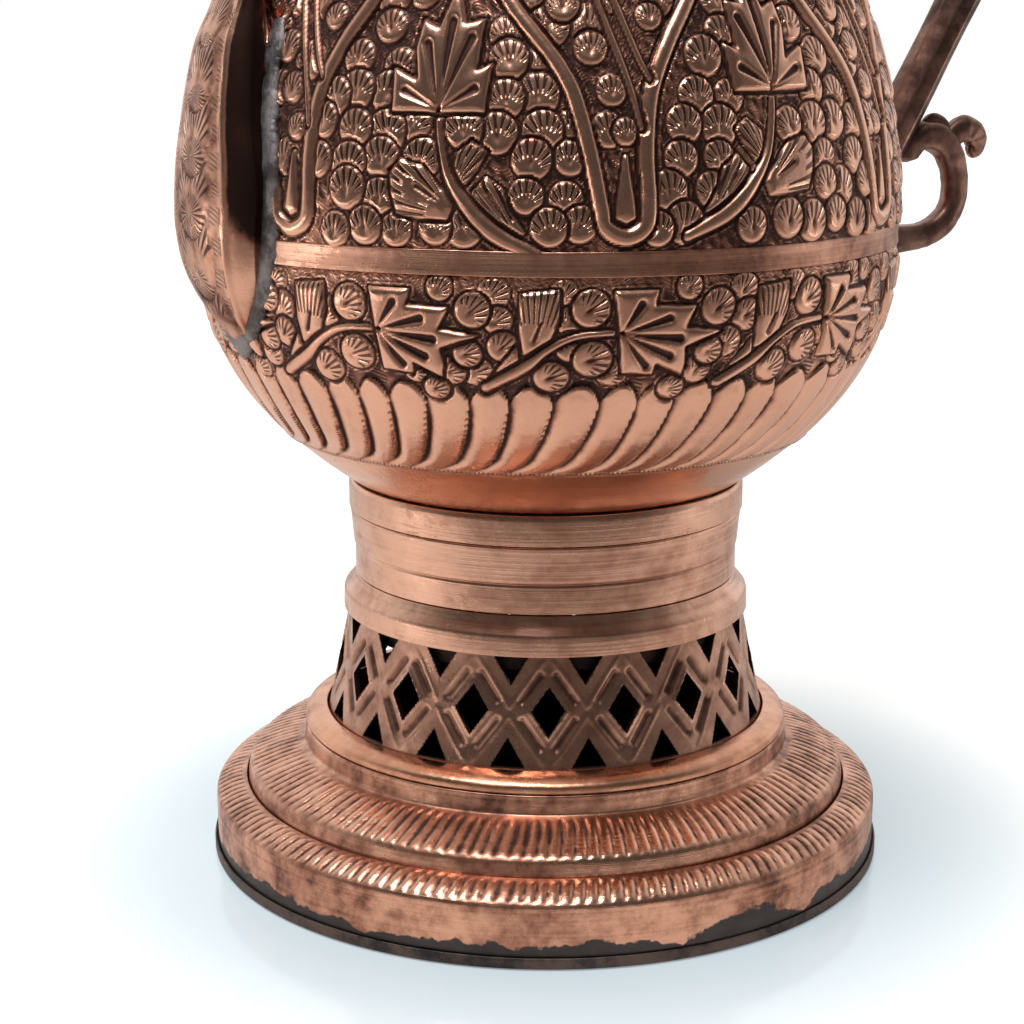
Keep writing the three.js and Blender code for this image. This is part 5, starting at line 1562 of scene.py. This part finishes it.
def turned_by(points, degrees):
    """Points turned about the jug's axis."""
    c, s = math.cos(math.radians(degrees)), math.sin(math.radians(degrees))
    x, y, z = np.moveaxis(np.asarray(points, float), -1, 0)
    return np.stack([x * c - y * s, x * s + y * c, z], -1)


# %% Tin round the spout's root
root = line_of[(line_of[:, 1] < belly_level + 61)][::4]
seam = [(half * 1.02 + 0.6, z) for x, z, deep, half in root]
left = [(-w, z) for w, z in seam[::-1]]
tip = [(0.0, seam[0][1] - 2.6)]
outline = np.array(left + tip + seam, float)
outline = cubic_through(outline, 3)
wave = np.random.default_rng(3).uniform(-1, 1, (len(outline), 2))
wave = np.array([np.convolve(wave[:, k], np.ones(5) / 5, "same") for k in range(2)]).T
width, z = outline[:, 0] + 0.9 * wave[:, 0], outline[:, 1]
radius = body_radius(z) + 0.1
angle = math.pi - width / radius
path = np.stack([radius * np.cos(angle), radius * np.sin(angle), z], -1)
away = path * np.array([1, 1, 0])
away /= np.linalg.norm(away, axis=1)[:, None]
run = np.gradient(path, axis=0)
run /= np.linalg.norm(run, axis=1)[:, None]
flat_side = np.cross(run, away)
taper = smooth(np.linspace(0, 1, len(path)) / 0.06) * smooth((1 - np.linspace(0, 1, len(path))) / 0.06)


def bead_section(share):
    i = round(share * (len(path) - 1))
    turn = np.arange(14) * 2 * np.pi / 14
    rough = 1 + 0.18 * wave[i, 1] + 0.08 * np.sin(3 * turn + 9 * share)
    return 1.5 * taper[i] * rough * np.sin(turn), (3.4 * taper[i] + 0.3) * rough * np.cos(turn)


sweep("spout_solder_visual", path, bead_section, tin_solder, "tin_solder", "spout_solder", sideways=flat_side)

# %% Spout lip
lip_at = np.array([-lip[0], 0, lip[1]])
lip_corners = [(6.7, -4, 0.3), (7.9, -0.8, 0.8), (7.3, 0.7, 0.5), (6.1, 0.7, 0.3), (6.1, -4, 0.3)]
lip_section = rounded(lip_corners, 1.0)
flat_lip = revolve(lip_section, 96, 0.03, 21)
c, s = math.cos(lean[-1]), math.sin(lean[-1])
x, y, z = np.moveaxis(flat_lip, -1, 0)
tilted = np.stack([x * c - z * s, y, x * s + z * c], -1)
skin("spout_lip_visual", tilted + lip_at, cast_copper, "spout_lip", "copper_cast", tone=0.55)

# %% [markdown]
# ## Handle
# The grip is a bar filed to eight faces. The scroll below it is a rough casting: a tapering ring
# that ends in a curl and a small leaf. Its skin is lumpy, so the section swells and shrinks.

# %% Handle bar
HANDLE_TURN = -8
BAR = 6.4
foot_z = belly_level - 9
cup_low = levels("mouth_cup")[0]
bar_top = cup_low + 7 + SHEET
reach_out = belly_radius + 53


def along_bar(rise):
    return (belly_radius + 0.557 * rise, foot_z + rise)


bar_line = [
    along_bar(-5), along_bar(31), along_bar(67), (reach_out - 3, foot_z + 91), (reach_out, foot_z + 107),
    (reach_out - 5, bar_top - 27), (reach_out - 20, bar_top - 12), (reach_out - 42, bar_top - 3),
    (reach_out - 66, bar_top), (54.0, bar_top),
]
flat_line = cubic_through(bar_line, 14)
bar_path = turned_by(np.insert(flat_line, 1, 0, axis=1), HANDLE_TURN)
octagon_turns = [(k + 0.5) * math.pi / 4 for k in range(8)]
OCTAGON = rounded([(math.cos(t), math.sin(t), 0.1) for t in octagon_turns], 0.5, 2)


def bar_section(share):
    size = BAR * (1 + 0.02 * math.sin(31 * share) + 0.015 * math.sin(57 * share + 1))
    return OCTAGON[:, 0] * size, OCTAGON[:, 1] * size


inside_body = np.hypot(bar_path[:, 0], bar_path[:, 1]) - body_radius(bar_path[:, 2])
kept = bar_path[(inside_body > 0.5) | (bar_path[:, 2] > neck_level)]
corner_shade = np.abs(OCTAGON[:, 0] ** 2 + OCTAGON[:, 1] ** 2)
bar_tone = np.broadcast_to(0.40 + 0.35 * smooth((corner_shade - 0.93) / 0.06), (len(kept), len(OCTAGON)))
side_way = np.array([-math.sin(math.radians(HANDLE_TURN)), math.cos(math.radians(HANDLE_TURN)), 0])
bar_made = sweep(
    "handle_bar_visual", kept, bar_section, cast_copper, "copper_cast", "handle_bar",
    tone=bar_tone, sideways=side_way,
)
bar_made.data.set_sharp_from_angle(angle=math.radians(24))

# %% Scroll
scroll_z = belly_level - 11


def from_belly(out, rise):
    return (belly_radius + out, scroll_z + rise)


STEM_LINE = [
    (2, -0.5, 4.0), (10, -0.6, 4.3), (19, 0, 4.1), (29, 1.0, 3.8), (36, 5.0, 3.7), (39.3, 11.5, 3.7),
    (38.8, 20, 3.8),
    (35.3, 27, 4.2), (30.0, 30.2, 4.3), (24.8, 29.2, 3.9), (21.6, 25.4, 3.7), (21.2, 22.6, 3.3),
]
CURL_LINE = [
    (34, 22, 2.4), (37.0, 29.0, 3.4), (41.8, 32.0, 3.8), (45.6, 30.0, 3.6), (46.0, 26.2, 2.8),
    (43.8, 24.8, 1.8),
]
LEAFLET_LINE = [(33, 28, 1.6), (33.6, 32.6, 2.6), (30.6, 34.6, 2.2), (27.4, 33.2, 1.2)]


def scroll_sweep(name, line, flatten, seed):
    smooth_line = cubic_through([(*from_belly(a, b), size) for a, b, size in line], 7)
    middle = turned_by(np.insert(smooth_line[:, :2], 1, 0, axis=1), HANDLE_TURN)
    lumps = np.random.default_rng(seed).uniform(-1, 1, len(middle))
    lumps = np.convolve(lumps, np.ones(3) / 3, "same")

    def section(share):
        i = round(share * (len(middle) - 1))
        taper = math.sqrt(max(0.05, smooth(min(share, 1 - share) / 0.04)))
        size = smooth_line[i, 2] * (1 + 0.07 * lumps[i]) * taper
        turn = np.arange(24) * 2 * np.pi / 24
        square = (abs(np.cos(turn)) ** 3 + abs(np.sin(turn)) ** 3) ** (-1 / 3)
        ripple = 1 + 0.03 * np.sin(5 * turn + 11 * share + seed)
        return size * square * ripple * np.cos(turn), flatten * size * square * ripple * np.sin(turn)

    sweep(name, middle, section, cast_copper, "copper_cast", "handle_scroll", tone=0.42, sideways=side_way)


scroll_sweep("handle_scroll_visual", STEM_LINE, 0.95, 5)
scroll_sweep("handle_curl_visual", CURL_LINE, 0.85, 6)
scroll_sweep("handle_leaflet_visual", LEAFLET_LINE, 0.8, 8)
print("handle made")

# %% [markdown]
# ## Neck ring, mouth, lid and cap
# The same hoops and the same flute tree make the top. The neck ring carries a row of beads, which
# a second small tree places on a circle.

# %% Beads on a circle
def bead_tree():
    graph, inputs = geometry_tree("beads_on_a_circle", Count=60, Radius=0.05, Height=0.3, Size=0.002)
    size = {"Vertices": inputs["Count"], "Radius": inputs["Radius"]}
    circle = graph.node("GeometryNodeMeshCircle", None, size)
    level = graph.node("ShaderNodeCombineXYZ", None, {"Z": inputs["Height"]})
    lifted = graph.node("GeometryNodeTransform", None, {"Geometry": circle, "Translation": level})
    bead = graph.node("GeometryNodeMeshUVSphere", None, {"Segments": 8, "Rings": 6, "Radius": inputs["Size"]})
    shaded = graph.node("GeometryNodeSetShadeSmooth", None, {"Geometry": bead})
    placed = graph.node("GeometryNodeInstanceOnPoints", None, {"Points": lifted, "Instance": shaded})
    real = graph.node("GeometryNodeRealizeInstances", None, {"Geometry": placed})
    toned = graph.node(
        "GeometryNodeStoreNamedAttribute", {"data_type": "FLOAT", "domain": "POINT"},
        {"Geometry": real, "Name": "tone", "Value": 0.75},
    )
    joined = graph.node("GeometryNodeJoinGeometry", None, {0: toned})
    graph.tree.links.new(inputs["Geometry"].socket, joined.socket.node.inputs[0])
    done = graph.node("GeometryNodeSetMaterial", None, {"Geometry": joined, "Material": inputs["Finish"]})
    graph.node("NodeGroupOutput", None, {"Geometry": done})
    return graph.tree


BEADS = bead_tree()

# %% Neck ring
ring_z = levels("neck_ring")
ring_out = reach("neck_ring")
neck_ring = hoop("neck_ring_visual", [
    (ring_out - 1.9, ring_z[0], 0.5), (ring_out - 1.4, ring_z[0] + 1.6, 0.6),
    (ring_out - 2.2, sum(ring_z) / 2, 0.5), (ring_out - 1.4, ring_z[1] - 1.6, 0.6),
    (ring_out - 1.9, ring_z[1], 0.5), (ring_out - 6.1, ring_z[1], 0.2), (ring_out - 6.1, ring_z[0], 0.2),
], cast_copper, "copper_cast", node="neck_ring", wobble=0.05)
BEAD = 1.75
settled(
    neck_ring, BEADS, Count=72, Radius=(ring_out - BEAD) * MM, Height=sum(ring_z) / 2 * MM, Size=BEAD * MM,
    Finish=cast_copper,
)

# %% Mouth cup
cup_bottom, cup_top = levels("mouth_cup")
cup_share = np.linspace(0, 1, 9)
MOUTH = 66
cup_outside = [(51 + (MOUTH - 51) * t**1.8, cup_bottom + t * (cup_top - cup_bottom), 2.0) for t in cup_share]
cup_inside = [(r - SHEET - 0.2, z, 2.0) for r, z, _ in cup_outside[::-1]]
cup_outside[0], cup_outside[-1] = (*cup_outside[0][:2], 0.2), (*cup_outside[-1][:2], 0.2)
cup_section = with_rows(rounded(cup_outside + cup_inside, 1.5), 50, 67, cup_bottom, 1.4)
CUP_FLUTES = 36
points = revolve(cup_section, CUP_FLUTES * 10, 0.1, 31)
cup = skin("mouth_cup_visual", points, chased_copper, "mouth_cup", "copper_chased")
fluted(cup, CUP_FLUTES, 50.5, 65.5, -0.9, cup_bottom, sharp=1.0)

# %% Rim
rim_low, rim_high = levels("mouth_rim")
rim_middle, rim_half = (rim_low + rim_high) / 2, (rim_high - rim_low) / 2
rim_centre = reach("mouth_rim") - rim_half
turn = np.arange(16) * 2 * np.pi / 16
rim_section = np.stack([rim_centre + rim_half * np.cos(turn), rim_middle + rim_half * np.sin(turn)], -1)
points = revolve(rim_section, 240, 0.08, 33)
skin("mouth_rim_visual", points, turned_copper, "mouth_rim", "copper_plain", tone=0.7)

# %% Lid
lid_low = levels("lid")[0]
lid_radius = reach("lid")
sleeve_radius = reach("lid_sleeve")
dome_hole = sleeve_radius + 0.3
dome_radius = lid_radius - 7
dome_turns = np.linspace(0, math.pi / 2, 12)
DOME_RISE = 27
dome = [
    (dome_hole + (dome_radius - dome_hole) * math.cos(t), lid_low + SHEET + DOME_RISE * math.sin(t), 1.2)
    for t in dome_turns
]
under = [
    (max(dome_hole, r - 1.3 * math.cos(t)), z - 1.2, 1.2) for (r, z, _), t in zip(dome, dome_turns)
][::-1]
under[-1] = (dome_radius - SHEET, lid_low, 0.2)
lid_corners = [
    (lid_radius, lid_low, 0.3), (lid_radius, lid_low + SHEET, 0.5), *dome[:-1], (*dome[-1][:2], 0.2), *under,
]
lid_section = with_rows(rounded(lid_corners, 1.5), dome_hole + 3, dome_radius, lid_low + 2, 1.2)
LID_FLUTES = 40
points = revolve(lid_section, LID_FLUTES * 10, 0.05, 35)
lid_made = skin("lid_visual", points, chased_copper, "lid", "copper_chased", body="lid")
fluted(lid_made, LID_FLUTES, dome_hole + 5, dome_radius - 1.5, 1.2, lid_low + 3, curl=0.35, sharp=0.8)

# %% Sleeve, cap and finial
sleeve_low, sleeve_high = levels("lid_sleeve")
hoop("lid_sleeve_visual", [
    (sleeve_radius, sleeve_low, 0.2), (sleeve_radius, sleeve_high, 0.4),
    (sleeve_radius - SHEET, sleeve_high, 0.4), (sleeve_radius - SHEET, sleeve_low, 0.2),
], turned_copper, "copper_plain", node="lid_sleeve", body="lid", wobble=0.02)
cap_low, cap_high = levels("chimney_cap")
cap_radius = reach("chimney_cap")
cap_level = cap_low + 9
skirt = sleeve_radius - 1.6
cap_turns = np.linspace(0, math.pi / 2, 10)
CAP_PEG = 2.5  # radius of the finial's peg


def cap_curve(wide, rise):
    """A quarter round from the cap's brim up to the finial's peg."""
    return [(CAP_PEG + wide * math.cos(t), cap_level + SHEET + rise * math.sin(t), 1.0) for t in cap_turns]


cap_dome = cap_curve(skirt + SHEET - CAP_PEG, 16.5)
cap_under = cap_curve(skirt - SHEET - CAP_PEG, 15.3)[::-1]
cap_corners = [
    (skirt, cap_low, 0.3), (skirt, cap_level, 0.2), (cap_radius, cap_level, 0.4),
    (cap_radius, cap_level + SHEET, 0.4), *cap_dome[1:-1], (*cap_dome[-1][:2], 0.1),
    (*cap_under[0][:2], 0.1), *cap_under[1:], (skirt - SHEET, cap_low, 0.3),
]
cap_section = with_rows(rounded(cap_corners, 1.2), 6, skirt, cap_level + 2, 1.0)
CAP_FLUTES = 28
points = revolve(cap_section, CAP_FLUTES * 8, 0.04, 37)
cap_made = skin("chimney_cap_visual", points, chased_copper, "chimney_cap", "copper_chased", body="cap")
fluted(cap_made, CAP_FLUTES, 7, skirt - 0.5, 0.9, cap_level + 2.2, curl=0.5, sharp=0.8)


# %% Turned knobs
KNOB_COLUMNS = 48


def knob(name, centre, corners, node, slot, body):
    """A turned solid piece: its section closes beside its own axis."""
    section = rounded(corners, 0.8)
    section[:, 0] = np.maximum(section[:, 0], 0.02)
    points = revolve(section, KNOB_COLUMNS, 0.0) + np.array([*centre, 0.0])
    return skin(name, points, cast_copper, node, slot, body, tone=0.6)


finial_low, finial_high = levels("cap_finial")
base = cap_high + 0.3
tall = finial_high - base
knob("cap_finial_visual", (0, 0), [
    (0.02, finial_low, 0), (2.2, finial_low, 0.2), (2.2, base, 0.1), (5.4, base, 0.5), (5.2, base + 1.1, 0.5),
    (2.5, base + 2.5, 0.8), (2.6, base + 0.28 * tall, 0.8), (4.4, base + 0.42 * tall, 1.6),
    (5.0, base + 0.58 * tall, 2.0), (3.4, base + 0.78 * tall, 1.2), (1.4, base + 0.9 * tall, 0.8),
    (0.02, finial_high, 0),
], "cap_finial", "copper_cast", "cap")
knob_low, knob_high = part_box("lid_knob")
knob_centre = ((knob_low.x + knob_high.x) / 2 / MM, 0)
knob_foot, knob_top = knob_low.z / MM, knob_high.z / MM
knob("lid_knob_visual", knob_centre, [
    (0.02, knob_foot, 0), (2.9, knob_foot, 0.2), (2.3, knob_top - 7, 1.0), (3.0, knob_top - 5.6, 0.8),
    (4.6, knob_top - 3.6, 1.6), (3.8, knob_top - 1.2, 1.2), (1.6, knob_top - 0.1, 0.8), (0.02, knob_top, 0),
], "lid_knob", "copper_cast", "lid")
print("mouth, lid and cap made")

# %% [markdown]
# ## Pieces that keep their working shape
# The fire grate, the tube, the plates and the rivets are right as they are. Each gets the finish
# that its place gives it: soot inside, cast patina on the fittings.

# %% Finishes on the working shapes
KEPT = {
    sooty_copper: "fire_tube", tin_solder: "vessel_floor", sooty_iron: "grate_seat fire_grate",
    plain_cast: "handle_palm handle_bracket hinge_block hinge_pin lid_hinge_leaf",
    plain_copper: "bracket_rivet_left bracket_rivet_right hinge_rivet_left hinge_rivet_right"
    " lid_rivet_left lid_rivet_right",
}
for material, names in KEPT.items():
    for node in names.split():
        shown = frame["nodes"][node]
        shown.data.materials.clear()
        shown.data.materials.append(material)
print(sum(len(names.split()) for names in KEPT.values()), "working shapes refinished")

low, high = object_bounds()
{"cad": [list(cad_low), list(cad_high)], "visual": [list(low), list(high)]}
triangles = sum(len(p.vertices) - 2 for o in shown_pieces() for p in o.data.polygons)
largest = max((sum(len(p.vertices) - 2 for p in o.data.polygons), o.name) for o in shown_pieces())
print("triangles:", triangles, "largest:", largest)
